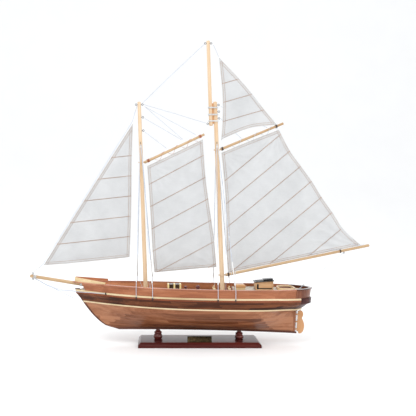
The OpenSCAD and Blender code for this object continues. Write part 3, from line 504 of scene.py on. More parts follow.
# runs a node tree over paths and keeps the result as a plain mesh
def grown(name, treeName, paths, **given):
    points, edges = [], []
    for path in paths:
        start = len(points)
        points += [Vector(p) * mm for p in path]
        edges += [(start + i, start + i + 1) for i in range(len(path) - 1)]
    mesh = bpy.data.meshes.new(name + "Path")
    mesh.from_pydata(points, edges, [])
    host = linked(name + "Path", mesh)
    modifier = host.modifiers.new("grow", "NODES")
    modifier.node_group = trees[treeName]
    for item in trees[treeName].interface.items_tree:
        if item.in_out == "INPUT" and item.name in given:
            modifier[item.identifier] = given[item.name]
    graph = bpy.context.evaluated_depsgraph_get()
    result = bpy.data.meshes.new_from_object(host.evaluated_get(graph))
    bpy.data.objects.remove(host)
    result.name = name
    return linked(name, result)


ropeSizes = {"radius": 0.58, "step": 0.75, "lay": 1.6}


def rope(name, paths, finish, body, *replaced, radius=None, step=None, slotName="rigging_thread"):
    obj = grown(name, "rope", paths, Radius=(radius or ropeSizes["radius"]) * mm,
                Step=(step or ropeSizes["step"]) * mm, Lay=ropeSizes["lay"] / mm, Finish=finishes[finish])
    return place(obj, body, slotName, finishes[finish], *replaced)


hull = {
    "halfKeel": 2.5, "plank": 2.4, "stripHeight": 3.2, "lineHeight": 2.4, "capHeight": 1.5,
    "foreMid": -10, "aftMid": 70, "breakX": 62, "deckHeight": 87.5, "quarterHeight": 95,
    "stations": 110, "lowerPlanks": 9, "seamWidth": 0.22, "seamDepth": 0.28, "plankLength": 118,
}
# each level: x of stem and stern, half breadth, then two powers for the bow and two for the stern
railLevel = (-222, 198, 49, 2.4, 1, 2.4, 0.5)
stripLevel = (-216, 196, 50, 2.3, 1.05, 2.4, 0.52)
counterLevel = (-209.5, 195.2, 49.2, 2.2, 1.08, 2.3, 0.55)
lineLevel = (-203, 181.5, 47.5, 2.2, 1.1, 2.2, 0.6)


# how a level climbs from its start towards the bow, or 0 behind it
def rise(x, start, span, power):
    return max(0, (start - x) / span) ** power


def railHeight(x):
    return 100.9 + 8.6 * rise(x, 80, 280, 1.5) - 0.8 * max(0, (x - 80) / 120) - hull["capHeight"]


def stripHeight(x):
    return (86.6 + 10 * rise(x, 80, 296, 1.8) - 0.8 * max(0, (x - 80) / 100)
            - 2 * (max(0, x - 112) / 68) ** 1.5)


def lineHeight(x):
    return (67.3 + 9.4 * rise(x, 60, 261, 1.5) - 1.2 * max(0, (x - 60) / 120)
            - 2.6 * (max(0, x - 140) / 41) ** 1.5)


def keelHeight(x):
    return 26 - 7.5 * (max(0, x + 140) / 320) ** 2.2


def deckHeight(x):
    return hull["quarterHeight"] if x > hull["breakX"] else hull["deckHeight"] + 10 * rise(x, 80, 296, 1.8)


def stemX(z):
    return -140 - 78 * (max(0, z - 26) / 72) ** 0.513


def onDeck(x):
    return deckHeight(x) + 1.0


# half breadth of a level at x
def breadth(level, x, bow, stern):
    start, end, half, bowN, bowQ, sternN, sternQ = level
    if x < hull["foreMid"]:
        t = 1 - max(0, (x - start) / (hull["foreMid"] - start))
        return bow + (half - bow) * (1 - t ** bowN) ** bowQ
    if x <= hull["aftMid"]:
        return half
    t = 1 - max(0, (end - x) / (end - hull["aftMid"]))
    return stern + (half - stern) * max(0, 1 - t ** sternN) ** sternQ


# x at share u of a level, closer together at the ends
def stationX(level, u):
    return lerp(level[0], level[1], (1 - math.cos(math.pi * u)) / 2)


def planPoint(level, u):
    x = stationX(level, u)
    return x, breadth(level, x, hull["halfKeel"] + 0.6, 0)


# a point on a level of the topsides, moved inward from the skin
def topPoint(level, u, z, inward):
    x, y = planPoint(level, u)
    ax, ay = planPoint(level, max(0, u - 0.004))
    bx, by = planPoint(level, min(1, u + 0.004))
    long = math.hypot(bx - ax, by - ay)
    nx, ny = ((by - ay) / -long, (bx - ax) / long) if u <= 0.996 else (1, 0)
    least = hull["halfKeel"] + 0.03 if u < 0.5 else 0
    return x - nx * inward, max(least, y - ny * inward), z


# a level of the lower hull: s is 0 at the strip and 1 at the keel
def lowLevel(s):
    return (-202 if s == 0 else stemX(lerp(73.6, 30, s)) + 4, 166.5 + 14.5 * max(0, 1 - s / 0.125),
            3.1 + (lineLevel[2] - 3.1) * (1 - s ** 2.2) ** 0.8,
            lerp(2.2, 1.8, s), lerp(1.1, 1.7, s), lerp(2.2, 1.7, s), lerp(0.8, 2.1, s))


def lowPoint(s, u):
    level = lowLevel(s)
    x = stationX(level, u)
    z = lerp(lineHeight(x) - hull["lineHeight"], keelHeight(x) + 4, s)
    return np.array((x, breadth(level, x, 3.1, 3.1), z))


def lowNormal(s, u):
    along = lowPoint(s, min(1, u + 0.01)) - lowPoint(s, max(0, u - 0.01))
    down = lowPoint(min(1, s + 0.02), u) - lowPoint(max(0, s - 0.02), u)
    normal = np.cross(down, along)
    return normal / np.linalg.norm(normal)


def plankTone(plank, x):
    shift = (plank * 0.37) % 1 * hull["plankLength"]
    return random.Random(plank * 131 + math.floor((x + shift) / hull["plankLength"])).random()


def lowerTone(plank, x):  # darker wood amidships, under the turn of the bilge
    amidships = -104 < x + plank * 9 < 92 + plank * 14
    return 0.55 * plankTone(plank, x) + (0.45 if not amidships else 0 if 2 < plank < 8 else 0.22)


def buildLowerHull():
    rows = []
    for plank in range(hull["lowerPlanks"]):
        top, low = plank / hull["lowerPlanks"], (plank + 1) / hull["lowerPlanks"]
        edge = 0.012
        rows += [(top + (edge if plank else 0), 0, plank), (lerp(top, low, 0.35), 0, plank),
                 (lerp(top, low, 0.68), 0, plank), (low - (edge if low < 1 else 0), 0, plank)]
        if low < 1:
            rows.append((low, hull["seamDepth"], plank))
    rows = [(math.sin(math.pi / 2 * s), depth, plank) for s, depth, plank in rows]
    outer, inner, tones = [], [], []
    for i in range(hull["stations"] + 1):
        u = i / hull["stations"]
        outerRow, innerRow = [], []
        for s, depth, plank in rows:
            point, normal = lowPoint(s, u), lowNormal(s, u)
            fade = min(1, 12 * u, 12 * (1 - u))
            cut = point - normal * depth * fade
            cut[1] = max(cut[1], hull["halfKeel"] + 0.02)
            outerRow.append(tuple(cut))
            thick = hull["plank"] * min(1, 10 * u, 10 * (1 - u))
            y = max(hull["halfKeel"] + 0.03, point[1] - abs(normal[1]) * thick)
            innerRow.append((point[0] - normal[0] * thick, min(point[1] - 0.5, y),
                             point[2] + abs(normal[2]) * thick))
        outer.append(outerRow)
        inner.append(innerRow)
    for i in range(hull["stations"]):
        for j in range(len(rows) - 1):
            tones += [lowerTone(rows[j][2] + 1, outer[i][j][0]), 0.5]
    for side, flip in (("Starboard", False), ("Port", True)):
        a = [[mirrored(p) for p in row] for row in outer] if flip else outer
        b = [[mirrored(p) for p in row] for row in inner] if flip else inner
        obj = solid("lowerPlanking" + side, slab(a, b), tones, sharpAngle=50)
        place(obj, "hull", "hull_mahogany", finishes["hull"], "hull_planking_" + side.lower())


# section of a belt of planking at u, with rounded edges and a groove at each seam
def beltLoop(belt, u):
    low, high = belt["low"], belt["high"]
    zLow, zHigh = belt["zLow"](stationX(low, u)), belt["zHigh"](stationX(high, u))
    tall, r, out, inn = zHigh - zLow, belt["round"], belt["out"], belt["in"]
    out = out(u) if callable(out) else out
    loop = [(0, inn)]
    for a in (90, 60, 30, 0):
        a = math.radians(a)
        loop.append(((r - r * math.sin(a)) / tall, -out + r - r * math.cos(a)))
    for seam in belt.get("seams", ()):
        wide = hull["seamWidth"] / tall
        loop += [(seam - wide, -out), (seam, -out + hull["seamDepth"]), (seam + wide, -out)]
    for a in (0, 30, 60, 90):
        a = math.radians(a)
        loop.append((1 - (r - r * math.sin(a)) / tall, -out + r - r * math.cos(a)))
    loop.append((1, inn))
    points = []
    for t, inward in loop:
        a, b = topPoint(low, u, zLow, inward), topPoint(high, u, zHigh, inward)
        points.append(tuple(lerp(a[k], b[k], t) for k in range(3)))
    return points


def beltShape(belt, u1, u2, steps, roundStern=False):
    rings = [beltLoop(belt, lerp(u1, u2, i / steps)) for i in range(steps + 1)]
    if roundStern:
        rings += [[mirrored(p) for p in ring] for ring in rings[-2::-1]]
        return [loft(rings)]
    return [loft(rings), loft([[mirrored(p) for p in ring] for ring in rings])]


def belt(low, high, zLow, zHigh, out, inn, r, seams=()):
    return {"low": low, "high": high, "zLow": zLow, "zHigh": zHigh, "out": out, "in": inn,
            "round": r, "seams": seams}


def plankTones(shape, seed):
    points, faces = shape
    return [plankTone(seed + round(sum(points[i][2] for i in face[:4]) / 4 / 4.6), points[face[0]][0])
            for face in faces]


def buildTopsides():
    strip, line, cap, gap = hull["stripHeight"], hull["lineHeight"], hull["capHeight"], 0.03
    ends = {"strip": 0.855, "side": 0.13, "sideAft": 0.822, "cap": 0.03}
    upper = belt(stripLevel, stripLevel, lambda x: stripHeight(x) - strip, lambda x: stripHeight(x) - gap,
                 0.6, hull["plank"], 0.5)
    obj = solid("upperStrip", joined(beltShape(upper, 0, ends["strip"], 110)))
    place(obj, "hull", "maple_strip", finishes["maple"], "upper_strip")

    lower = belt(lineLevel, lineLevel, lambda x: lineHeight(x) - line, lambda x: lineHeight(x) - gap,
                 0.3, hull["plank"], 0.4)
    obj = solid("lowerStrip", joined(beltShape(lower, 0, 1, 120, roundStern=True)))
    place(obj, "hull", "maple_strip", finishes["maple"], "lower_strip")

    def knuckle(x):
        return lerp(lineHeight(x), stripHeight(x) - strip, 0.38 + 0.27 * max(0, min(1, (x - 140) / 55)))

    def proud(u):  # the counter block stands out round the stern
        return 2.6 * max(0, min(1, (u - 0.84) / 0.08))

    def edge(x):
        return stripHeight(x) - strip - 2.9
    below = belt(lineLevel, counterLevel, lineHeight, knuckle, 0, hull["plank"], 0.12, (0.52,))
    above = belt(counterLevel, stripLevel, knuckle, edge, proud, hull["plank"], 0.12, (0.4,))
    red = belt(stripLevel, stripLevel, edge, lambda x: stripHeight(x) - strip - gap, proud, hull["plank"],
               0.12)
    shape = joined(beltShape(below, 0, ends["strip"], 100) + beltShape(above, 0, ends["strip"], 100))
    obj = solid("walnutBand", shape, plankTones(shape, 40))
    place(obj, "hull", "walnut", finishes["walnut"], "walnut_band")
    obj = solid("walnutBandEdge", joined(beltShape(red, 0, ends["strip"], 100)))
    place(obj, "hull", "walnut", finishes["edge"])
    after = ends["strip"] + 0.002
    below["out"] = lambda u: 0
    block = belt(counterLevel, stripLevel, knuckle, lambda x: stripHeight(x) - gap, proud, hull["plank"], 0.4)
    shape = joined([part for rule in (below, block) for part in beltShape(rule, after, 1, 50, True)])
    place(solid("counterBlock", shape), "hull", "walnut", finishes["block"])

    side = belt(stripLevel, railLevel, stripHeight, lambda x: railHeight(x) - gap, 0, hull["plank"] - 1,
                0.1, (0.36, 0.70))
    starboard, port = beltShape(side, ends["side"], ends["sideAft"], 100)
    for name, shape in (("Starboard", starboard), ("Port", port)):
        obj = solid("bulwark" + name, shape, plankTones(shape, 70))
        place(obj, "hull", "bulwark_mahogany", finishes["bulwark"], "bulwark_" + name.lower())

    # a lining in the lighter mahogany over the inner face: painted light where that face lies in shade
    side["out"], side["in"], side["seams"] = -(hull["plank"] - 0.97), hull["plank"] - 0.4, ()
    lining = joined(beltShape(side, ends["side"] + 0.003, ends["sideAft"] - 0.002, 100))
    place(solid("bulwarkPaintedLightLining", lining), "hull", "bulwark_mahogany", finishes["inner"])
    rim = belt(railLevel, railLevel, lambda x: railHeight(x) - 2, lambda x: railHeight(x) - gap, 0.7, 1, 0.25)
    moulding = joined(beltShape(rim, ends["side"], ends["sideAft"], 110))
    place(solid("railMoulding", moulding), "hull", "cap_mahogany", finishes["moulding"])

    stern = belt(stripLevel, railLevel, stripHeight, lambda x: railHeight(x) - gap, 0,
                 hull["plank"] - 0.4, 0.1)
    steps = 66
    rings = []
    for i in range(steps + 1):  # upright staves with a groove at every sixth station
        stern["out"] = -hull["seamDepth"] if i % 6 == 3 else 0
        rings.append(beltLoop(stern, lerp(ends["sideAft"] + 0.002, 1, i / steps)))
    rings += [[mirrored(p) for p in ring] for ring in rings[-2::-1]]
    obj = solid("sternStaves", loft(rings), sharpAngle=55)
    place(obj, "hull", "dark_rail", finishes["stern"], "stern_bulwark")

    # the cap rail's lighter finish is a painted highlight along its top
    rail = belt(railLevel, railLevel, railHeight, lambda x: railHeight(x) + cap, 1.2, 3.6, 0.55)
    obj = solid("capRail", joined(beltShape(rail, ends["cap"], ends["sideAft"], 120)))
    place(obj, "hull", "cap_mahogany", finishes["cap"], "cap_rail")
    rail = belt(railLevel, railLevel, railHeight, lambda x: railHeight(x) + cap, 2.4, 4.4, 0.6)
    obj = solid("sternRail", joined(beltShape(rail, ends["sideAft"] + 0.002, 1, 70, True)))
    place(obj, "hull", "dark_rail", finishes["darkRail"], "taffrail")

    board = belt(railLevel, railLevel, lambda x: railHeight(x) + cap + gap,
                 lambda x: railHeight(x) + cap + 7.4 - 3.9 * (x + 212) / 50, -0.2, 1.1, 0.35)
    starboard, port = beltShape(board, 0.064, 0.245, 60)
    for name, shape in (("Starboard", starboard), ("Port", port)):
        obj = solid("bowBoard" + name, shape)
        place(obj, "hull", "light_wood", finishes["light"], "bow_board_" + name.lower())
    # the bow boards are lined in the same lighter mahogany, painted light
    board["out"], board["in"], board["round"] = -1.13, 1.8, 0.15
    place(solid("bowBoardPaintedLightLining", joined(beltShape(board, 0.064, 0.247, 60))), "hull", "bulwark_mahogany",
          finishes["inner"])


def buildBackbone():
    stem = [(stemX(z), z) for z in np.arange(98, 32, -1.0)]
    keel = [(x, keelHeight(x)) for x in range(-140, 172, 5)]
    under = [(x, deckHeight(x) - 2.4) for x in range(186, 66, -12)] + [(66, 92.6), (66, 87.3)]
    under += [(x, deckHeight(x) - 2.4) for x in range(58, -206, -8)]
    outline = stem + keel + [(172.4, keelHeight(172.4)), (172.4, 21.6), (169.2, 21.6), (171.6, 57.6),
                             (175.5, 59.6), (177, 64), (178.4, 67.5), (186, 80)] + under
    outline += [(-209.2, deckHeight(-206) - 2.4), (-209.2, 97.8), (-214, 98)]
    half = hull["halfKeel"]
    # the backbone shows along the bottom edge, where its darker finish is painted shade
    obj = solid("keelBackbone", prism(outline, -half, half, "y"), bevel=0.35, bevelSteps=2)
    place(obj, "hull", "keel_wood", finishes["keel"], "keel_backbone")
    post = [(163, 22.4), (169.3, 22.4), (171.7, 57.5), (163, 57.5)]
    place(solid("sternPost", prism(post, -half - 0.05, half + 0.05, "y")), "hull", "hull_mahogany",
          finishes["sternPost"])


deckSizes = {"planks": 11, "camber": 0.9, "thickness": 2, "seamWidth": 0.03, "seamDepth": 0.25, "margin": 3.3}


# deck planks along the ship between u1 and u2, crowned in the middle
def deckShape(u1, u2, height, steps, planks):
    rows = []
    for plank in range(-planks, planks):
        a, b = plank / planks, (plank + 1) / planks
        rows += [(a + deckSizes["seamWidth"] / 4, 0), (b - deckSizes["seamWidth"] / 4, 0)]
        if plank < planks - 1:
            rows.append((b, deckSizes["seamDepth"]))
    rows[0], rows[-1] = (-1, 0), (1, 0)
    top, low, tones = [], [], []
    for i in range(steps + 1):
        x, y = topPoint(stripLevel, lerp(u1, u2, i / steps), 0, deckSizes["margin"])[:2]
        y = max(1, y)
        top.append([(x, y * k, height(x) + deckSizes["camber"] * (1 - k * k) - cut) for k, cut in rows])
        low.append([(x, y * k, height(x) - deckSizes["thickness"]) for k, cut in rows])
    for i in range(steps):
        for j in range(len(rows) - 1):
            tones += [plankTone(200 + j // 3, top[i][0][0]), 0.5]
    return slab(top, low), tones


# the share u at which a level passes x, the opposite of stationX
def levelShare(level, x):
    return math.acos(1 - 2 * (x - level[0]) / (level[1] - level[0])) / math.pi


def buildDecks():
    edge = hull["breakX"]
    shape, tones = deckShape(0.09, levelShare(stripLevel, edge + 2), lambda x: deckHeight(min(x, edge)), 60,
                             deckSizes["planks"])
    place(solid("mainDeck", shape, tones), "hull", "deck_wood", finishes["deck"], "main_deck")
    shape, tones = deckShape(levelShare(stripLevel, edge), 1, lambda x: hull["quarterHeight"], 50,
                             deckSizes["planks"])
    place(solid("quarterDeck", shape, tones), "hull", "deck_wood", finishes["deck"], "quarterdeck")
    wide = 46
    low = hull["deckHeight"] + 1
    board = block((edge - 2, -wide, low), (edge - 0.2, wide, low + 7.4))
    rims = [block((edge - 2.5, -wide, z), (edge - 2, wide, z + 0.9)) for z in (low, low + 6.4)]
    place(solid("breakBoard", joined([board] + rims), bevel=0.15), "hull", "bulwark_mahogany",
          finishes["bulwark"], "break_board")


buildLowerHull()
buildTopsides()
buildBackbone()
buildDecks()
print("hull and decks built")


# a bevelled base, two turned posts and a blank plate
stand = {"length": 212, "width": 74, "height": 9, "bevelStart": 5, "bevel": 4.5, "postX": 71.5,
         "edge": 0.5, "plateLength": 42, "plateY": -25, "plateRim": 0.9, "pinRadius": 0.7}


def buildStand():
    long, wide = stand["length"] / 2, stand["width"] / 2
    start, tall, inset = stand["bevelStart"], stand["height"], stand["bevel"]
    rings = [[(sx * (long - d), sy * (wide - d), z) for sx, sy in ((-1, -1), (1, -1), (1, 1), (-1, 1))]
             for d, z in ((0, 0), (0, start), (inset, tall))]
    obj = solid("standBase", loft(rings), bevel=stand["edge"], bevelSteps=4, sharpAngle=60)
    place(obj, "hull", "lacquered_mahogany", finishes["base"], "stand_base")

    profile = [(6, 0), (6.8, 1.2), (7.7, 3.2), (8, 5), (7.5, 7), (6.4, 8.7), (6, 9.6), (6.3, 10.4),
               (6.8, 11.6), (6.2, 12.8), (4.9, 13.9), (3.8, 15.2), (3.3, 16.8)]
    drawn, posts = profile[-1][1], []
    for x in (-stand["postX"], stand["postX"]):
        top = keelHeight(x) - tall - 0.03
        turned = [(r, min(max(z, 0), drawn) * top / drawn) for r, z in smoothPath(profile, 5)]
        turned = [(0.01, 0)] + turned + [(0.01, top)]
        posts.append(lathe(turned, (x, 0, tall), 56))
    place(solid("standPosts", joined(posts), sharpAngle=50), "hull", "lacquered_mahogany", finishes["post"],
          "stand_posts")

    y, half, rim = stand["plateY"], stand["plateLength"] / 2, stand["plateRim"]
    body = prism([(y - 7, 9.03), (y + 1.6, 9.03), (y + 1.6, 17.4), (y + 0.4, 18.43), (y - 0.6, 18.43),
                  (y - 7, 9.9)], -half, half, "x")
    low, high = np.array((y - 6.86, 10.1)), np.array((y - 0.76, 18.25))
    way = (high - low) / np.linalg.norm(high - low)
    out = np.array((-way[1], way[0])) * 0.35

    def bar(x0, x1, a, b):
        corners = [low + way * a, low + way * b, low + way * b + out, low + way * a + out]
        return prism([tuple(c) for c in corners], x0, x1, "x")
    long = np.linalg.norm(high - low)
    end = half - 0.2
    bars = [bar(-end, end, 0, rim), bar(-end, end, long - rim, long), bar(-end, rim - end, rim, long - rim),
            bar(end - rim, end, rim, long - rim)]
    pins = []
    for x in (-half + 3, half - 3):
        base = low + way * long / 2
        rings = []
        for r, h in ((stand["pinRadius"], -0.1), (stand["pinRadius"], 0.15), (0.45, 0.42), (0.05, 0.5)):
            spots = []
            for k in range(16):
                a = 2 * math.pi * k / 16
                spot = base + way * r * math.sin(a) + out / 0.35 * h
                spots.append((x + r * math.cos(a), spot[0], spot[1]))
            rings.append(spots)
        pins.append(loft(rings))
    place(solid("namePlate", joined([body] + bars + pins), bevel=0.12), "hull", "plate_bronze",
          finishes["brass"], "name_plate")


buildStand()
print("stand built")


masts = {  # where each axis is at its foot: x, z and the lean in degrees
    "fore": (-93.4, 98, 2), "main": (42, 98, 2.25), "top": (22, 385, 2),
}


def mastAt(name, z):
    x, foot, lean = masts[name]
    return x - (z - foot) * math.tan(math.radians(lean))


def foreAt(z):
    return mastAt("fore", z)


def mainAt(z):
    return mastAt("main", z)


def topAt(z):
    return mastAt("top", z)


sparEnds = {
    "bowsprit": ((-190, 102.5), (-296, 119.5), 3.2, 2.8), "mainBoom": ((48, 121.5), (300, 173.5), 2.5, 2.3),
    "mainGaff": ((39.5, 343), (149, 388.5), 2.4, 2.1), "foreGaff": ((-95, 320), (9.5, 369), 2.4, 2.1),
}


def sparShape(ends):
    (x0, z0), (x1, z1), r0, r1 = ends
    steps = 40
    path = [(lerp(x0, x1, i / steps), 0, lerp(z0, z1, i / steps)) for i in range(steps + 1)]
    return tube(path, lambda t: lerp(r0, r1, t), 28)


def mastShape(at, low, high, r0, r1):
    path = [(at(lerp(low, high, i / 60)), 0, lerp(low, high, i / 60)) for i in range(61)]
    return tube(path, lambda t: lerp(r0, r1, t), 32)


# pine for the bowsprit, boom and gaffs, in the darker tones that paint shade on them
def sparFinish(name, ends):
    (x0, z0), (x1, z1) = ends[0], ends[1]
    lean = math.atan2(x1 - x0, z1 - z0)
    return woodFinish(name, *shadedSparTones, grain="z", turn=(0, -lean, 0), rough=(0.36, 0.5), relief=0.12,
                      coat=(0.3, 0.2))


def buildSpars():
    turned = {"foremast": (foreAt, 74.4, 425.5, 3.9, 3.1), "mainmast": (mainAt, 74.4, 425.5, 4.1, 3.5),
              "topmast": (topAt, 386, 533.6, 3.3, 3.1)}
    for name, (at, low, high, r0, r1) in turned.items():
        place(solid(name + "Spar", mastShape(at, low, high, r0, r1)), "hull", "spar_pine", finishes["spar"],
              name)
    filler = [(topAt(388) + 2.4, 388), (topAt(424) + 2.3, 424), (mainAt(424) - 2.5, 424),
              (mainAt(388) - 2.6, 388)]
    place(solid("mastFiller", prism(filler, -1.7, 1.7, "y")), "hull", "spar_pine", finishes["rudder"])
    for name, body, node in (("bowsprit", "hull", "bowsprit"), ("mainBoom", "main_rig", "main_boom"),
                             ("mainGaff", "main_rig", "main_gaff"), ("foreGaff", "fore_rig", "fore_gaff")):
        place(solid(name + "Spar", sparShape(sparEnds[name])), body, "spar_pine",
              sparFinish(name + "Pine", sparEnds[name]), node)


# a point at a distance along a spar, lifted off it or to one side
def alongSpar(name, distance, lift=0, side=0):
    (x0, z0), (x1, z1) = sparEnds[name][:2]
    long = math.hypot(x1 - x0, z1 - z0)
    ux, uz = (x1 - x0) / long, (z1 - z0) / long
    up = (-uz, ux) if ux > 0 else (uz, -ux)
    return x0 + ux * distance + up[0] * lift, side, z0 + uz * distance + up[1] * lift


# thread wound round a spar
def winding(name, start, turns, pitch, radius):
    path = []
    for k in range(int(turns * 16) + 1):
        a = 2 * math.pi * k / 16
        path.append(alongSpar(name, start + pitch * k / 16, radius * math.cos(a), radius * math.sin(a)))
    return path


# thread that goes round a spar and through the edge of the sail
def lacing(name, start, turns, pitch, drop):
    spar = max(sparEnds[name][2:]) + 0.5
    middle, swing = (spar - drop) / 2, (spar + drop) / 2
    path = []
    for k in range(int(turns * 24) + 1):
        a = 2 * math.pi * k / 24
        path.append(alongSpar(name, start + pitch * k / 24, middle + swing * math.cos(a),
                              (spar + 0.6) * math.sin(a)))
    return path


buildSpars()
print("spars turned")


skylight = {"x": -43, "length": 24, "width": 20, "height": 15.2, "bar": 3, "sill": 1.1,
            "slatCount": 9, "slatPitch": 1.55, "slatWidth": 7.2, "slatThickness": 1.1}


def buildSkylight():
    x, long, wide, thick = (skylight[key] for key in ("x", "length", "width", "bar"))
    z = onDeck(x - long / 2)
    frameParts = [block((x + a, -wide / 2, z), (x + a + thick, wide / 2, z + skylight["height"]))
                  for a in (-long / 2, -thick / 2, long / 2 - thick)]
    frameParts += [block((x - long / 2, -wide / 2, z), (x + long / 2, wide / 2, z + skylight["sill"]))]
    place(solid("skylightFrame", joined(frameParts), bevel=0.25, bevelSteps=3), "hull", "skylight_wood",
          finishes["yellow"], "skylight_frame")
    centres = [(x - long / 2 + 6.7, 0, z + 1.9), (x + 5.2, 0, z + 1.9)]
    slats = grown("skylightSlats", "slat", [[c] for c in centres], Count=skylight["slatCount"],
                  Pitch=skylight["slatPitch"] * mm, Length=(wide - 1.2) * mm,
                  Width=skylight["slatWidth"] * mm, Thickness=skylight["slatThickness"] * mm,
                  Finish=finishes["pane"])
    place(slats, "hull", "dark_slats", finishes["pane"], "skylight_panes")


bitts = {"ballX": -1.5, "bollardX": -23, "y": -2, "ballRadius": 3.8, "ballHeight": 10.2, "bollardHeight": 12}


def buildBitts():
    x, y, r, tall = bitts["ballX"], bitts["y"], bitts["ballRadius"], bitts["bollardHeight"]
    ball = [(r * math.sin(a), bitts["ballHeight"] - r * math.cos(a))
            for a in np.linspace(0.62, math.pi - 0.02, 20)]
    post = lathe([(0.01, 0), (3.1, 0), (3.1, 0.9), (2.3, 1.6), (2.1, 5.6)] + ball, (x, y, onDeck(x)), 40)
    x = bitts["bollardX"]
    bollard = smoothPath([(0.01, 0), (3, 0), (3, 1.3), (2.1, 2.3), (1.9, 5), (2.0, 8), (3, 9), (3, 11),
                          (2, tall), (0.01, tall)], 4)
    bollard = [(max(0.01, r), min(tall, max(0, h))) for r, h in bollard]
    bitt = lathe(bollard, (x, y, onDeck(x)), 40)
    place(solid("deckBitts", joined([post, bitt]), sharpAngle=50), "hull", "barrel_red", finishes["red"],
          "deck_bitts")


deckBox = {"x": 72.6, "halfLength": 8.5, "halfWidth": 8, "wall": 2, "height": 3.9, "floor": 1.6}


def buildDeckBox():
    x, long, wide, tall = (deckBox[key] for key in ("x", "halfLength", "halfWidth", "height"))
    z, innerLong, innerWide = onDeck(x), long - deckBox["wall"], wide - deckBox["wall"]
    walls = [block((x - long, -wide, z), (x + long, -innerWide, z + tall)),
             block((x - long, innerWide, z), (x + long, wide, z + tall)),
             block((x - long, -innerWide, z), (x - innerLong, innerWide, z + tall)),
             block((x + innerLong, -innerWide, z), (x + long, innerWide, z + tall)),
             block((x - innerLong, -innerWide, z), (x + innerLong, innerWide, z + deckBox["floor"]))]
    place(solid("deckBoxCase", joined(walls), bevel=0.2), "hull", "light_wood", finishes["light"], "deck_box")
    z += 4
    rings = [[(x + sx * a, sy * b, z + h) for sx, sy in ((-1, -1), (1, -1), (1, 1), (-1, 1))]
             for a, b, h in ((9.5, 9, 0), (9.5, 9, 3.4), (6.6, 6.4, 5.6))]
    place(solid("deckBoxLid", loft(rings), bevel=0.25, bevelSteps=3), "hull", "light_wood", finishes["lid"],
          "deck_box_lid")


cabin = {"x": 99, "length": 31, "width": 24, "fore": 13.2, "aft": 15.6, "wall": 2, "step": 0.6,
         "post": 2.2, "topRail": 2, "sill": 1.6, "insetFoot": 3.6, "insetWidth": 3}


def buildCabin():
    x, long, wide, fore, aft, wall = (cabin[key] for key in ("x", "length", "width", "fore", "aft", "wall"))
    wide, step, post, z = wide / 2, cabin["step"], cabin["post"], onDeck(x)

    def top(at, drop=0):
        return z + lerp(fore, aft, (at - x) / long) - drop

    def panel(y0, y1, x0, x1, low, highFore, highAft):
        return prism([(x0, low), (x1, low), (x1, highAft), (x0, highFore)], *sorted((y0, y1)), "y")
    parts = []
    first, last = x + post, x + long - post
    for s in (-1, 1):
        outer, inner = s * wide, s * (wide - step)
        parts.append(panel(inner, s * (wide - wall), x, x + long, z, top(x), top(x + long)))
        for x0, x1 in ((x, first), (last, x + long)):
            parts.append(panel(outer, inner, x0, x1, z, top(x0), top(x1)))
        parts += [panel(outer, inner, first, last, z, z + cabin["sill"], z + cabin["sill"]),
                  prism([(first, top(first, cabin["topRail"])), (last, top(last, cabin["topRail"])),
                         (last, top(last)), (first, top(first))], *sorted((outer, inner)), "y")]
    for x0 in (x, x + long - wall):
        parts.append(panel(-wide + wall, wide - wall, x0, x0 + wall, z, top(x0, 0.1), top(x0 + wall, 0.1)))
    place(solid("cabinHouse", joined(parts), bevel=0.16), "hull", "cabin_wood", finishes["cabin"],
          "cabin_house")
    inset, foot = [], z + cabin["insetFoot"]
    first, last = first + 0.2, last - 0.2
    for s in (-1, 1):  # dark pieces along the fore edge and the foot of each side's recessed panel
        outer, inner = s * (wide - 0.15), s * (wide - step)
        inset += [panel(outer, inner, first, last, z + 1.7, foot, foot),
                  panel(outer, inner, first, first + cabin["insetWidth"], foot, z + 10.4, z + 10.6)]
    place(solid("cabinInsets", joined(inset), bevel=0.1), "hull", "roof_black", finishes["roof"])
    slope = math.atan2(aft - fore, long)

    def onRoof(points):
        return [(x + px * math.cos(slope) - pz * math.sin(slope), py,
                 z + fore + 0.05 + px * math.sin(slope) + pz * math.cos(slope)) for px, py, pz in points]

    def roofBlock(low, high):
        points, faces = block(low, high)
        return onRoof(points), faces
    place(solid("cabinRoof", roofBlock((-1.5, -wide - 1.5, 0.05), (long + 1.5, wide + 1.5, 1.65)), bevel=0.4,
                bevelSteps=3), "hull", "roof_black", finishes["roof"], "cabin_roof")
    hatch = [roofBlock((long - 16, -8, 1.7), (long + 0.2, 8, 3.3)),
             roofBlock((long - 16.3, -8.3, 3.3), (long + 0.5, 8.3, 4.1))]
    hatch += [roofBlock((1, y, 1.66), (long - 17, y + 1, 2.2)) for y in (-7, 6)]
    place(solid("cabinHatch", joined(hatch), bevel=0.25, bevelSteps=3), "hull", "roof_black",
          finishes["roof"], "cabin_hatch")


cockpit = {  # the oval's middle, end radius and half straight; then each ring's inset and height
    "x": 153.5, "radius": 15, "halfStraight": 8, "sides": 72,
    "coaming": ((0, 0), (0, 4.1), (0.2, 4.45), (0.7, 4.6), (1.4, 4.6), (1.8, 4.45), (2, 4.1), (2, 0.8)),
    "well": ((2.05, 0.85), (2.05, 1.4)), "seat": ((2.1, 1.4), (2.1, 2.4), (5, 2.4), (5, 1.4)),
}


def buildCockpit():
    x, away, sides = cockpit["x"], cockpit["halfStraight"], cockpit["sides"]

    def ovals(part):
        rings = []
        for inset, height in cockpit[part]:
            radius, ring = cockpit["radius"] - inset, []
            for k in range(sides):
                a = 2 * math.pi * k / sides
                y = radius * math.sin(a) + (away if math.sin(a) >= 0 else -away)
                ring.append((x + radius * math.cos(a), y, onDeck(x) + height))
            rings.append(ring)
        return rings
    place(solid("cockpitCoaming", loft(ovals("coaming")), sharpAngle=50), "hull", "coaming_wood",
          finishes["coaming"], "cockpit_coaming")
    sole = joined([loft(ovals("well")), loft(ovals("seat"), looped=True)])
    place(solid("cockpitSole", sole), "hull", "barrel_red", finishes["red"])


fifeRails = {"places": ((27, 9), (54, 8)), "halfPost": 1.5, "postHeight": 8, "topHeight": 9.6, "pins": 4}


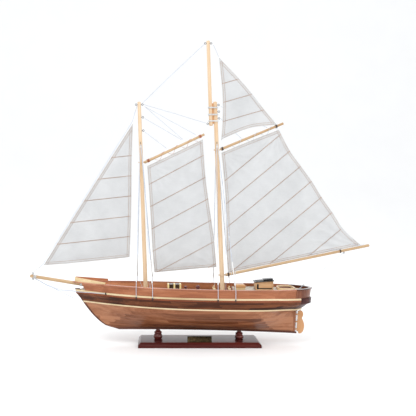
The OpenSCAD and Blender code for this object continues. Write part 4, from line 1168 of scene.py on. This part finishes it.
def buildSmallFittings():
    rails, tall = [], fifeRails["postHeight"]
    pin = [(0.01, 0), (0.5, 0.1), (0.5, 4.4), (0.9, 5), (0.75, 6.6), (0.95, 7.4), (0.01, 7.8)]
    for x, half in fifeRails["places"]:
        z, r = onDeck(x), fifeRails["halfPost"]
        for s in (-1, 1):
            rails.append(block((x - r, s * half - r, z), (x + r, s * half + r, z + tall)))
        rails.append(block((x - 2, -half - 3, z + tall), (x + 2, half + 3, z + fifeRails["topHeight"])))
        for k in range(fifeRails["pins"]):  # belaying pins stood in the rail
            y = lerp(-half + 3.4, half - 3.4, k / (fifeRails["pins"] - 1))
            rails.append(lathe(pin, (x, y, z + 5.2), 12))
    place(solid("fifeRails", joined(rails), bevel=0.18), "hull", "light_wood", finishes["light"], "fife_rail")
    # the chock shares the cap rail's finish and its painted highlight
    chock = prism([(-203, 98.2), (-196, 98.2), (-196, 101.2), (-203, 102.4)], -3.5, 3.5, "y")
    place(solid("bowspritChock", chock, bevel=0.35, bevelSteps=3), "hull", "cap_mahogany", finishes["cap"],
          "bowsprit_chock")


rudder = {"halfThickness": 1.7, "bevel": 0.5,
          "lowerLobe": [(179.4, 18.2), (183.6, 22), (185.9, 29), (185.9, 35), (184.2, 41), (182, 45.3)],
          "upperLobe": [(182, 45.3), (183.8, 48.6), (184.6, 53), (183.4, 56.6), (180.8, 58.9), (177.8, 58.5)]}


def buildRudder():
    half = rudder["halfThickness"]
    blade = [(172.9, 22.6), (175.4, 22.2), (176, 18.6)]
    blade += smoothPath(rudder["lowerLobe"], 5)[:-1] + smoothPath(rudder["upperLobe"], 5)
    blade += [(175.4, 57.8), (174.8, 50), (173.9, 36)]
    blade = solid("rudderBlade", prism(blade, -half, half, "y"), bevel=rudder["bevel"], bevelSteps=3,
                  sharpAngle=50)
    place(blade, "rudder", "rudder_wood", finishes["rudder"], "rudder")


buildSkylight()
buildBitts()
buildDeckBox()
buildCabin()
buildCockpit()
buildSmallFittings()
buildRudder()
print("deck fittings built")


# sails: four sides each, from the tack up the luff, along the head, down the leech and back along the foot
sails = {
    "jib": {
        "luff": [(-273.5, 138.5), (-195, 264), (-115.8, 389)], "head": [(-115.8, 389), (-115.8, 389)],
        "leech": [(-121.8, 152.8), (-119, 230), (-118, 330), (-115.8, 389)],
        "foot": [(-273.5, 138.5), (-230, 141.6), (-170, 147.6), (-121.8, 152.8)],
        "belly": 4.0, "body": "hull", "hang": ["forestay"], "flat": (0.1577, 0.2505),
        "seams": {"at": (-119, 332), "step": -35.6, "slope": 0.108, "count": 5},
        "folds": [(0, 0.55, 9, 70), (1, 0.5, 7, 60), (2, 0.4, 11, 60)],
    },
    "foresail": {
        "luff": [(-78, 125.8), (-81, 161), (-83, 197.5), (-85.4, 240), (-88, 280), (-90.6, 313.4)],
        "head": [(-90.6, 313.4), (-40, 337.6), (7.2, 360.4)],
        "leech": [(31.6, 135.2), (27.8, 178.5), (22.6, 217), (12.6, 290), (7.2, 360.4)],
        "foot": [(-78, 125.8), (-50, 128.4), (5, 133.4), (31.6, 135.2)],
        "belly": 4.0, "body": "fore_rig", "hang": ["fore_gaff"], "flat": (0.1222, 0.2346),
        "seams": {"at": (-80, 285), "step": -40.5, "slope": 0.535, "count": 6},
        "folds": [(0, 0.5, 8, 60), (1, 0.6, 10, 80), (2, 0.6, 9, 80), (3, 0.5, 8, 60)],
    },
    "mainsail": {
        "luff": [(51.5, 125.6), (49.8, 164), (48.3, 243), (45.4, 287), (40.6, 337)],
        "head": [(40.6, 337), (90, 357.4), (141.6, 377.6)],
        "leech": [(286, 174), (256, 201), (237.6, 228.8), (218, 256.6), (199.8, 286), (180.5, 312.8),
                  (161, 340), (141.6, 377.6)],
        "foot": [(51.5, 125.6), (130, 141.6), (220, 160.2), (286, 174)],
        "belly": 4.5, "body": "main_rig", "hang": ["main_gaff", "main_boom"], "flat": (0.2454, 0.252),
        "seams": {"at": (46.9, 288), "step": -42.5, "slope": 0.83, "count": 7},
        "folds": [(0, 0.5, 8, 70), (1, 0.6, 10, 80), (2, 0.9, 12, 110), (3, 1.0, 12, 110)],
    },
    "topsail": {
        "luff": [(40, 358.4), (42.4, 393), (42.9, 425), (41, 457), (36, 505)], "head": [(36, 505), (36, 505)],
        "leech": [(137.6, 386.8), (116.3, 412.4), (94, 441), (71.6, 467.3), (36, 505)],
        "foot": [(40, 358.4), (47, 363.6), (91, 381), (137.6, 386.8)],
        "belly": 2.4, "body": "main_rig", "hang": ["main_gaff"], "flat": (0.1016, 0.1466),
        "seams": {"at": (41, 458.5), "step": -33.6, "slope": 0.286, "count": 3},
        "folds": [(0, 0.35, 7, 40), (1, 0.35, 7, 40), (3, 0.5, 8, 50)],
    },
}
clothSizes = {"thickness": 0.5, "hemWidth": 5.2, "hemHeight": 0.42, "seamWidth": 1.5, "seamHeight": 0.36,
              "edgeSoftness": 24, "hemStep": 2.5, "stitchPitch": 1.7, "stitchLength": 1.3,
              "stitchRadius": 0.25}


# points at shares t of the length of a smooth line
def curveAt(points, t):
    path = smoothPath([(a, b, 0) for a, b in points], 12)
    path = np.array(path)[:, :2]
    lengths = np.concatenate([[0], np.cumsum(np.linalg.norm(np.diff(path, axis=0), axis=1))])
    if lengths[-1] < 1e-6:
        return np.repeat(path[:1], len(t), axis=0)
    lengths /= lengths[-1]
    return np.stack([np.interp(t, lengths, path[:, k]) for k in (0, 1)], axis=1)


# cloth stretched between the four sides, as rows of x and z
def sailGrid(sail, across, up):
    u, v = np.linspace(0, 1, across + 1), np.linspace(0, 1, up + 1)
    foot, head = curveAt(sail["foot"], u), curveAt(sail["head"], u)
    luff, leech = curveAt(sail["luff"], v), curveAt(sail["leech"], v)
    uu, vv = u[None, :, None], v[:, None, None]
    ruled = (1 - vv) * foot[None] + vv * head[None] + (1 - uu) * luff[:, None] + uu * leech[:, None]
    corners = ((1 - uu) * (1 - vv) * foot[0] + uu * (1 - vv) * foot[-1]
               + (1 - uu) * vv * head[0] + uu * vv * head[-1])
    return ruled - corners


def sailBelly(sail, x, z):  # y of the cloth: less than 0 is to port
    shape = 1.0
    for side in ("luff", "leech", "foot", "head"):
        a, b = np.array(sail[side][0]), np.array(sail[side][-1])
        if np.linalg.norm(b - a) < 1:
            continue
        way = (b - a) / np.linalg.norm(b - a)
        away = abs((x - a[0]) * way[1] - (z - a[1]) * way[0])
        shape *= 1 - math.exp(-away / clothSizes["edgeSoftness"])
    y = -sail["belly"] * shape ** 0.8
    corners = [sail["foot"][0], sail["head"][0], sail["head"][-1], sail["foot"][-1]]
    for corner, height, waves, reach in sail["folds"]:
        cx, cz = corners[corner]
        away = math.hypot(x - cx, z - cz)
        angle = math.atan2(z - cz, x - cx)
        fade = (away / (away + 12)) * math.exp(-(away / reach) ** 1.6) * min(1, shape * 4)
        drift = noise.noise((cx * 0.1, away * 0.02, 1)) * 3
        y += height * fade * math.sin(angle * waves * 2 + drift)
    y += 0.55 * noise.noise((x * 0.021, z * 0.011, sail["belly"])) * min(1, shape * 3)
    y += 0.16 * noise.noise((x * 0.07, z * 0.05, 4.2)) * min(1, shape * 3)
    return y


def onCloth(sail, points, lift=0.0):
    return [(x, sailBelly(sail, x, z) + lift, z) for x, z in points]


# a narrow band of cloth along a line, folded round the edge if it is a hem
def ribbonRings(sail, line, inward, width, height, wrapped, shares=None):
    if wrapped:  # a folded hem: round the edge and in on both faces
        profile = [(-0.22, 0), (0, -height * 0.8), (0.3, -height), (width - 0.2, -height),
                   (width, -height + 0.2), (width, height - 0.2), (width - 0.2, height), (0.3, height),
                   (0, height * 0.8)]
    else:
        profile = [(-width / 2, -height + 0.16), (-width / 2 + 0.2, -height), (width / 2 - 0.2, -height),
                   (width / 2, -height + 0.16), (width / 2, height - 0.16), (width / 2 - 0.2, height),
                   (-width / 2 + 0.2, height), (-width / 2, height - 0.16)]
    rings = []
    for (x, z), (nx, nz), share in zip(line, inward, shares or [1] * len(line)):
        ring = []
        for a, b in profile:
            a *= share if a > 0 else 1
            px, pz = x + nx * a, z + nz * a
            ring.append((px, sailBelly(sail, px, pz) + b, pz))
        rings.append(ring)
    return loft(rings)


# points along one side of a sail, and the ways in to its middle
def sideLine(sail, side):
    a = curveAt(sail[side], np.array([0.0, 1.0]))
    long = np.linalg.norm(a[1] - a[0])
    count = max(2, int(long / clothSizes["hemStep"]))
    line = curveAt(sail[side], np.linspace(0, 1, count + 1))
    ways = np.gradient(line, axis=0)
    ways /= np.linalg.norm(ways, axis=1)[:, None]
    middle = sailGrid(sail, 2, 2)[1, 1]
    inward = np.stack([-ways[:, 1], ways[:, 0]], axis=1)
    if np.dot(middle - line[count // 2], inward[count // 2]) < 0:
        inward = -inward
    return line, inward


def sailOutline(sail):
    outline = []
    for side, back in (("foot", False), ("leech", False), ("head", True), ("luff", True)):
        line = curveAt(sail[side], np.linspace(0, 1, 60))
        outline += list(line[::-1] if back else line)
    return outline


def clothAcross(outline, spot, way):  # how far the cloth runs from one edge to the next
    best = 1000.0
    for a, b in zip(outline, outline[1:] + outline[:1]):
        side = b - a
        cross = way[0] * side[1] - way[1] * side[0]
        if abs(cross) > 1e-9:
            gap = a - spot
            along = (gap[0] * side[1] - gap[1] * side[0]) / cross
            share = (gap[0] * way[1] - gap[1] * way[0]) / cross
            if 0 <= share <= 1 and 0.05 < along < best:
                best = along
    return best


# where the sail's panels meet, as lines from edge to edge
def seamLines(sail, outline):
    rule, found = sail["seams"], []
    way = np.array((1, rule["slope"])) / math.hypot(1, rule["slope"])
    across = np.array((-way[1], way[0]))
    for k in range(rule["count"]):
        base = np.array((rule["at"][0], rule["at"][1] + k * rule["step"]))
        hits = []
        for a, b in zip(outline, outline[1:] + outline[:1]):
            da, db = np.dot(a - base, across), np.dot(b - base, across)
            if da * db < 0:
                hits.append(np.dot(a + (b - a) * da / (da - db) - base, way))
        if len(hits) >= 2:
            low, high = min(hits) + 1.2, max(hits) - 1.2
            count = max(3, int((high - low) / 3))
            found.append([tuple(base + way * t) for t in np.linspace(low, high, count)])
    return found, across


def buildSail(name, sail):
    grid = sailGrid(sail, 90, 110)
    points = [(p[0], sailBelly(sail, p[0], p[1]), p[1]) for row in grid for p in row]
    cols = grid.shape[1]
    faces = [(i * cols + j, i * cols + j + 1, (i + 1) * cols + j + 1, (i + 1) * cols + j)
             for i in range(grid.shape[0] - 1) for j in range(cols - 1)]
    cloth = solid(name + "Cloth", (points, faces), sharpAngle=80)
    uvs = cloth.data.uv_layers.new(name="cut")
    for loop in cloth.data.loops:
        spot = cloth.data.vertices[loop.vertex_index].co
        uvs.data[loop.index].uv = (spot.x * 4, spot.z * 4)
    thick = cloth.modifiers.new("thickness", "SOLIDIFY")
    thick.thickness, thick.offset = clothSizes["thickness"] * mm, 0
    place(cloth, sail["body"], "sailcloth", finishes["cloth"], name)
    hems, rows, outline, wide = [], [], sailOutline(sail), clothSizes["hemWidth"]
    for side in ("luff", "leech", "foot", "head"):
        if sail[side][0] == sail[side][-1]:
            continue
        line, inward = sideLine(sail, side)
        line[0] += (line[1] - line[0]) * 0.1
        line[-1] += (line[-2] - line[-1]) * 0.1
        room = [clothAcross(outline, p, n) for p, n in zip(line, inward)]
        shares = [max(0.08, min(1, r * 0.97 / wide)) for r in room]
        hems.append(ribbonRings(sail, line, inward, wide, clothSizes["hemHeight"], True, shares))
        for away in (1.6, wide - 0.5):
            rows.append([tuple(p + n * away) for p, n, r in zip(line, inward, room) if r > away + 1][1:-1])
    seams, across = seamLines(sail, outline)
    for line in seams:
        hems.append(ribbonRings(sail, line, [across] * len(line), clothSizes["seamWidth"],
                                clothSizes["seamHeight"], False))
        for away in (-0.32, 0.32):
            rows.append([(x + across[0] * away, z + across[1] * away) for x, z in line])
    hem = solid(name + "Hems", joined(hems), sharpAngle=60)
    place(hem, sail["body"], "sailcloth", finishes["hem"])
    paths = [onCloth(sail, row, lift) for row in rows
             for lift in (-clothSizes["hemHeight"], clothSizes["hemHeight"])]
    stitches = grown(name + "Stitches", "stitch", paths, Pitch=clothSizes["stitchPitch"] * mm,
                     Length=clothSizes["stitchLength"] * mm, Radius=clothSizes["stitchRadius"] * mm,
                     Finish=finishes["stitch"])
    place(stitches, sail["body"], "sailcloth", finishes["stitch"])


for sailName, sailRule in sails.items():
    buildSail(sailName, sailRule)
    print("sail cut:", sailName)


# feet are where the shrouds end on the hull, as x and z
rigging = {"sleeveRadius": 0.85, "feet": ((-109, 89.4), (-81, 88), (30, 86), (60, 86)),
           "shroudTop": 351, "seizing": 0.32}


def footY(x):
    return breadth(stripLevel, x, 3, 0) + 0.6


def shroudPath(foot, topX, topY):
    x, z = foot
    y = footY(x) + 1.5
    railY, railZ = max(y, breadth(railLevel, x, 3, 0) + 2), railHeight(x) + 1
    return [(x, y, z - 1), (x, railY, railZ), (topX, topY, rigging["shroudTop"])]


def pointAlong(path, z):
    for a, b in zip(path, path[1:]):
        if min(a[2], b[2]) <= z <= max(a[2], b[2]):
            t = (z - a[2]) / (b[2] - a[2])
            return tuple(lerp(a[k], b[k], t) for k in range(3))
    return path[-1]


# turns of thread round a centre
def coil(centre, way, radius, turns, pitch):
    steps = 12
    way = np.array(way, float) / np.linalg.norm(way)
    side = np.cross(way, (0, 1, 0) if abs(way[1]) < 0.9 else (1, 0, 0))
    side /= np.linalg.norm(side)
    up = np.cross(way, side)
    path = []
    for k in range(int(turns * steps) + 1):
        a = 2 * math.pi * k / steps
        path.append(tuple(np.array(centre) + way * (k / steps - turns / 2) * pitch
                          + radius * (math.cos(a) * side + math.sin(a) * up)))
    return path


def bottleRadius(t):  # swelling near the foot of each shroud, then a plain neck
    if t >= 0.75:
        return 0.8
    return 0.62 + 0.75 * math.sin(math.pi * min(1, t * 1.25 + 0.05)) ** 0.8 * (1 - 0.35 * t)


def buildShrouds():
    lines, sleeves, bottles, knots = [], [], [], []
    top = rigging["shroudTop"]
    tops = [(at(top) + shift, y) for at, y in ((foreAt, 6.6), (mainAt, 6.8)) for shift in (-0.8, 0.8)]
    for side in (1, -1):
        for foot, (topX, topY) in zip(rigging["feet"], tops):
            path = [(p[0], p[1] * side, p[2]) for p in shroudPath(foot, topX, topY)]
            lines.append(path)
            base = path[1][2]
            sleeve = [pointAlong(path, base + h) for h in np.linspace(21, 48, 12)]
            sleeves.append(tube(sleeve, rigging["sleeveRadius"], 12))
            bottle = [pointAlong(path, base + h) for h in np.linspace(9, 22, 14)]
            bottles.append(tube(bottle, bottleRadius, 14))
            way = np.array(path[2]) - np.array(path[1])
            for h in (90, 98):
                knots.append(coil(pointAlong(path, base + h), way, 0.62, 3, rigging["seizing"] * 1.8))
            knots.append(coil(pointAlong(path, 347), way, 0.7, 4, rigging["seizing"] * 1.8))
    rope("shroudLines", lines, "thread", "hull", "shrouds", radius=0.56)
    place(solid("shroudSleeves", joined(sleeves + bottles)), "hull", "rigging_thread", finishes["white"])
    rope("shroudKnots", knots, "white", "hull", radius=rigging["seizing"], step=0.35)


def buildStays():
    forestay = [(-108.4, 0, 420.6), (-117.2, 0, 391.4), (-157, 0, 327.8), (-196.6, 0, 265), (-235, 0, 203.6),
                (-275.4, 0, 139.2), (-291.4, 0, 126.2)]
    rope("forestayLine", [forestay], "thread", "hull", "forestay", radius=0.56)
    bob = [(-289, 0, 114.6), (-266.3, 0, 103.2), (-240, 0, 89.8), (-218.5, 0, 79.6)]
    lines = [bob]
    for side in (1, -1):
        start = [(-288, 1.6, 114.8), (-266, 3.2, 102.6), (-243, 5.6, 94.6)]
        along = [(x, breadth(stripLevel, x, 3, 0) + 1.5, 92.4) for x in np.arange(-218, -163, 4.5)]
        lines.append([(x, y * side, z) for x, y, z in start + along])
    rope("bowspritLines", lines, "thread", "hull", "bowsprit_stays")
    knots = []
    for (a, b), shares, way, radius, turns in (
            (bob[:2], (0.35, 0.72), (1, 0, -0.5), 0.7, 3),
            (forestay[-2:], (0.35, 0.8), (-1, 0, -0.8), 0.75, 4),
            (forestay[:2], (0.3,), (-0.3, 0, -1), 0.75, 4)):
        knots += [coil(lerp(np.array(a), np.array(b), t), way, radius, turns, 0.6) for t in shares]
    rope("stayKnots", knots, "white", "hull", radius=0.32, step=0.35)
    stays = [[(9.6, 0, 528), (-45, 0, 476.8), (-98.6, 0, 424.8)],
             [(12.4, 0, 389.4), (-40, 0, 405.4), (-98.2, 0, 422.4)]]
    rope("mastheadStays", stays, "thread", "hull", "mast_stays", radius=0.5)


def buildRunning():
    fore = [
        [(-95.6, -1.4, 419), (-60, -1.4, 388), (-28, -1.4, 360.4)],
        [(-94.6, 1.4, 418.4), (-50, 1.4, 393.4), (-5, 1.4, 368.8)],
        [(-95, 0, 397.4), (-60, 0, 377.2), (-30, 0, 359.6)],
        [(-94.6, -0.4, 373.4), (-74, -0.4, 358), (-56.6, -0.4, 344.6)]]
    main = [
        [(39, 2.4, 419.2), (80, 3, 401), (122, 3.2, 381.2)],
        [(39.4, 2.4, 397.6), (56, 3, 380), (76, 3.4, 362.6)],
        [(26, -3.6, 526.4), (31, -2.4, 516), (35.2, 0, 506.4)]]
    for rig, lines in (("fore", fore), ("main", main)):
        rope(rig + "HalyardLines", lines, "thread", rig + "_rig", rig + "_halyards", radius=0.46)
    fixed = [[(-96.6, 4.6, 94), (-101, 22, 100), (-105.4, 38.4, 107.6)],
             [(33, -6.1, 351.9), (44.6, -7.4, 250), (47, -8.6, 120), (47.6, -9, 89.4)],
             [(-101, -4.4, 350.4), (-92, -6.4, 240), (-86.6, -8, 93)]]
    rope("fallLines", [smoothPath(p, 6) for p in fixed], "thread", "hull", "sail_sheets", radius=0.4)
    tack = grown("foreTackLines", "rope", [[(-79, 0, 124.4), (-83, 1, 112), (-86, 3, 93.4)],
                                          [(31.8, 0.6, 134), (30.6, 2, 118), (28, 5, 99.6)]],
                 Radius=0.42 * mm, Step=0.75 * mm, Lay=ropeSizes["lay"] / mm, Finish=finishes["white"])
    paint(tack, finishes["white"])
    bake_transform(tack)
    sheets = grown("mainSheetLines", "rope", [
        [(256, 0, 160.8), (243, 0, 150), (230.5, 0, 139.7), (206.7, 0, 119.8), (193, 0, 109.8),
         (184.6, 0, 103.2)],
        [(183.8, -0.4, 102.4), (178, -7, 99), (171.4, -13.6, 96.4)],
        [(183.8, 0.4, 102.4), (182.4, 7, 99), (181, 13.6, 96.4)]],
        Radius=0.45 * mm, Step=0.75 * mm, Lay=ropeSizes["lay"] / mm, Finish=finishes["thread"])
    paint(sheets, finishes["thread"])
    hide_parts("mainsheet")
    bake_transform(sheets)


def buildLashings():
    bands = []
    for z in (391.6, 402.8, 415.1):
        mid = (topAt(z) + mainAt(z)) / 2
        reach = (mainAt(z) - topAt(z)) / 2
        for k in range(4):
            loop = []
            for i in range(41):
                a = 2 * math.pi * i / 40
                r = 4.35 + 0.08 * (k % 2)
                shift = reach if math.cos(a) >= 0 else -reach
                loop.append((mid + shift + r * math.cos(a), r * math.sin(a), z + 0.35 + 0.63 * k))
            bands.append(loop)
    rope("mastSeizings", bands, "white", "hull", "mast_lashings", radius=0.42, step=0.7,
         slotName="seizing_thread")
    for name, spar, finish, body, rounds in (  # each round: start, turns, pitch, radius
            ("bowspritLashing", "bowsprit", "white", "hull", ((97, 6, 0.85, 3.35), (15, 5, 0.85, 3.6))),
            ("boomLashings", "mainBoom", "white", "main_rig", ((9, 2.5, 0.9, 2.95), (16, 2, 0.9, 2.95))),
            ("boomBands", "mainBoom", "darkTwine", "main_rig", ((3, 4, 0.8, 2.9), (205, 3, 0.8, 2.85))),
            ("gaffBands", "mainGaff", "darkTwine", "main_rig", ((1, 4, 0.8, 2.85), (104, 4, 0.8, 2.6))),
            ("foreGaffBands", "foreGaff", "orange", "fore_rig", ((5, 5, 0.8, 2.85), (106, 5, 0.8, 2.6)))):
        rope(name, [winding(spar, *one) for one in rounds], finish, body, radius=0.4, step=0.6,
             slotName="seizing_thread")
    for name, spar, finish, body, radius, course in (  # each course: start, turns, pitch, drop
            ("boomLacing", "mainBoom", "thread", "main_rig", 0.36, (128, 3.2, 39, -8)),
            ("gaffLacing", "mainGaff", "thread", "main_rig", 0.36, (14, 3.4, 27.6, 7.2)),
            ("foreGaffLacing", "foreGaff", "orange", "fore_rig", 0.3, (12, 3.5, 26, 7.2))):
        rope(name, [lacing(spar, *course)], finish, body, radius=radius, step=0.8)


# a wire ring
def ringShape(centre, axis, radius, wire):
    sides, around = 10, 28
    axis = np.array(axis, float) / np.linalg.norm(axis)
    side = np.cross(axis, (0, 1, 0) if abs(axis[1]) < 0.9 else (1, 0, 0))
    side /= np.linalg.norm(side)
    up = np.cross(axis, side)
    rings = []
    for k in range(around):
        a = 2 * math.pi * k / around
        out = math.cos(a) * side + math.sin(a) * up
        rings.append([tuple(np.array(centre) + out * (radius + wire * math.cos(2 * math.pi * j / sides))
                            + axis * wire * math.sin(2 * math.pi * j / sides)) for j in range(sides)])
    return loft(rings, looped=True)


def buildEyes():
    rings = []
    for side in (1, -1):
        for x, z in rigging["feet"]:
            rings.append(ringShape((x, (footY(x) + 1.3) * side, z - 1.4), (1, 0, 0), 1.15, 0.3))
        rings.append(ringShape((-162, (footY(-162) + 1.2) * side, 92.4), (1, 0.2, 0), 1.1, 0.3))
        rings.append(ringShape((176 + 5 * (side > 0), 14.2 * side, 96.3), (0, 0, 1), 1.1, 0.3))
    rings.append(ringShape((184.6, 0, 102.8), (0, 1, 0), 1.3, 0.35))
    place(solid("rigEyes", joined(rings), sharpAngle=60), "hull", "eye_metal", finishes["eye"])
    boom = [ringShape(alongSpar("mainBoom", 212, -3.9), (0, 1, 0), 1.3, 0.35)]
    place(solid("boomEye", joined(boom), sharpAngle=60), "main_rig", "eye_metal", finishes["eye"])


buildShrouds()
buildStays()
buildRunning()
buildLashings()
buildEyes()
print("rigging rove")


# the parts carried over from the frame, each with its own finish
carried = {
    "stand_screws": "steel", "bulkhead_frames": "ply", "mast_steps": "ply", "rudder_straps": "rudder",
    "rudder_rod": "rod", "rig_collars_fore": "spar", "rig_collars_main": "spar", "screw_eyes": "eye",
    "chainplates": "eye",
}
for nodeName, finishName in carried.items():
    paint(cadNodes[nodeName], finishes[finishName])


# a paper sweep, a pale sky, three soft lamps and the camera
def buildStudio():
    bend, back = studio["floorBend"], studio["floorBack"]
    profile = [(-2.4, 0), (back, 0)]
    profile += [(back + bend * math.sin(a), bend - bend * math.cos(a))
                for a in np.linspace(0.1, math.pi / 2, 14)]
    profile += [(back + bend, 5)]
    floor = solid("studioFloor", loft([[(x / mm, y / mm, z / mm) for y, z in profile] for x in (-5, 5)],
                                      closed=False, caps=False))
    finish, tree, surface = newFinish("studioPaper", Roughness=0.75)
    here = objectPlace(tree)
    paper = noisy(tree, here, 6, 3)
    tone = studio["floorTone"]
    tree.links.new(toneRamp(tree, paper, [(0.3, tuple(c * 0.985 for c in tone)), (0.7, tone)]),
                   surface.inputs["Base Color"])
    floor.data.materials.append(finish)
    sky = bpy.data.worlds.new("studioSky")
    sky.use_nodes = True
    sky.node_tree.nodes["Background"].inputs["Color"].default_value = (0.97, 0.985, 1.0, 1)
    sky.node_tree.nodes["Background"].inputs["Strength"].default_value = studio["skyStrength"]
    bpy.context.scene.world = sky
    bpy.context.scene.view_settings.view_transform = "Standard"
    for name, spot, aim, size, power in (
            ("keyLight", (-0.9, -1.2, 1.9), (0, 0, 0.2), 1.3, studio["keyPower"]),
            ("fillLight", (1.3, -1.3, 0.9), (0, 0, 0.2), 1.4, studio["fillPower"]),
            ("backLight", (0.3, 1.5, 1.8), (0, 0, 0.2), 1.2, studio["backPower"])):
        lamp = bpy.data.lights.new(name, "AREA")
        lamp.shape, lamp.size, lamp.energy = "SQUARE", size, power
        holder = bpy.data.objects.new(name, lamp)
        holder.location = spot
        holder.rotation_euler = (Vector(aim) - Vector(spot)).to_track_quat("-Z", "Y").to_euler()
        bpy.context.scene.collection.objects.link(holder)
    lens = bpy.data.cameras.new("shipCamera")
    lens.lens, lens.sensor_width = studio["lens"], 36
    lens.shift_x, lens.shift_y = studio["shift"]
    lens.clip_end = 30
    holder = bpy.data.objects.new("shipCamera", lens)
    holder.location = studio["cameraPlace"]
    holder.rotation_euler = (math.pi / 2, 0, 0)
    bpy.context.scene.collection.objects.link(holder)
    bpy.context.scene.camera = holder


buildStudio()
print("studio set")
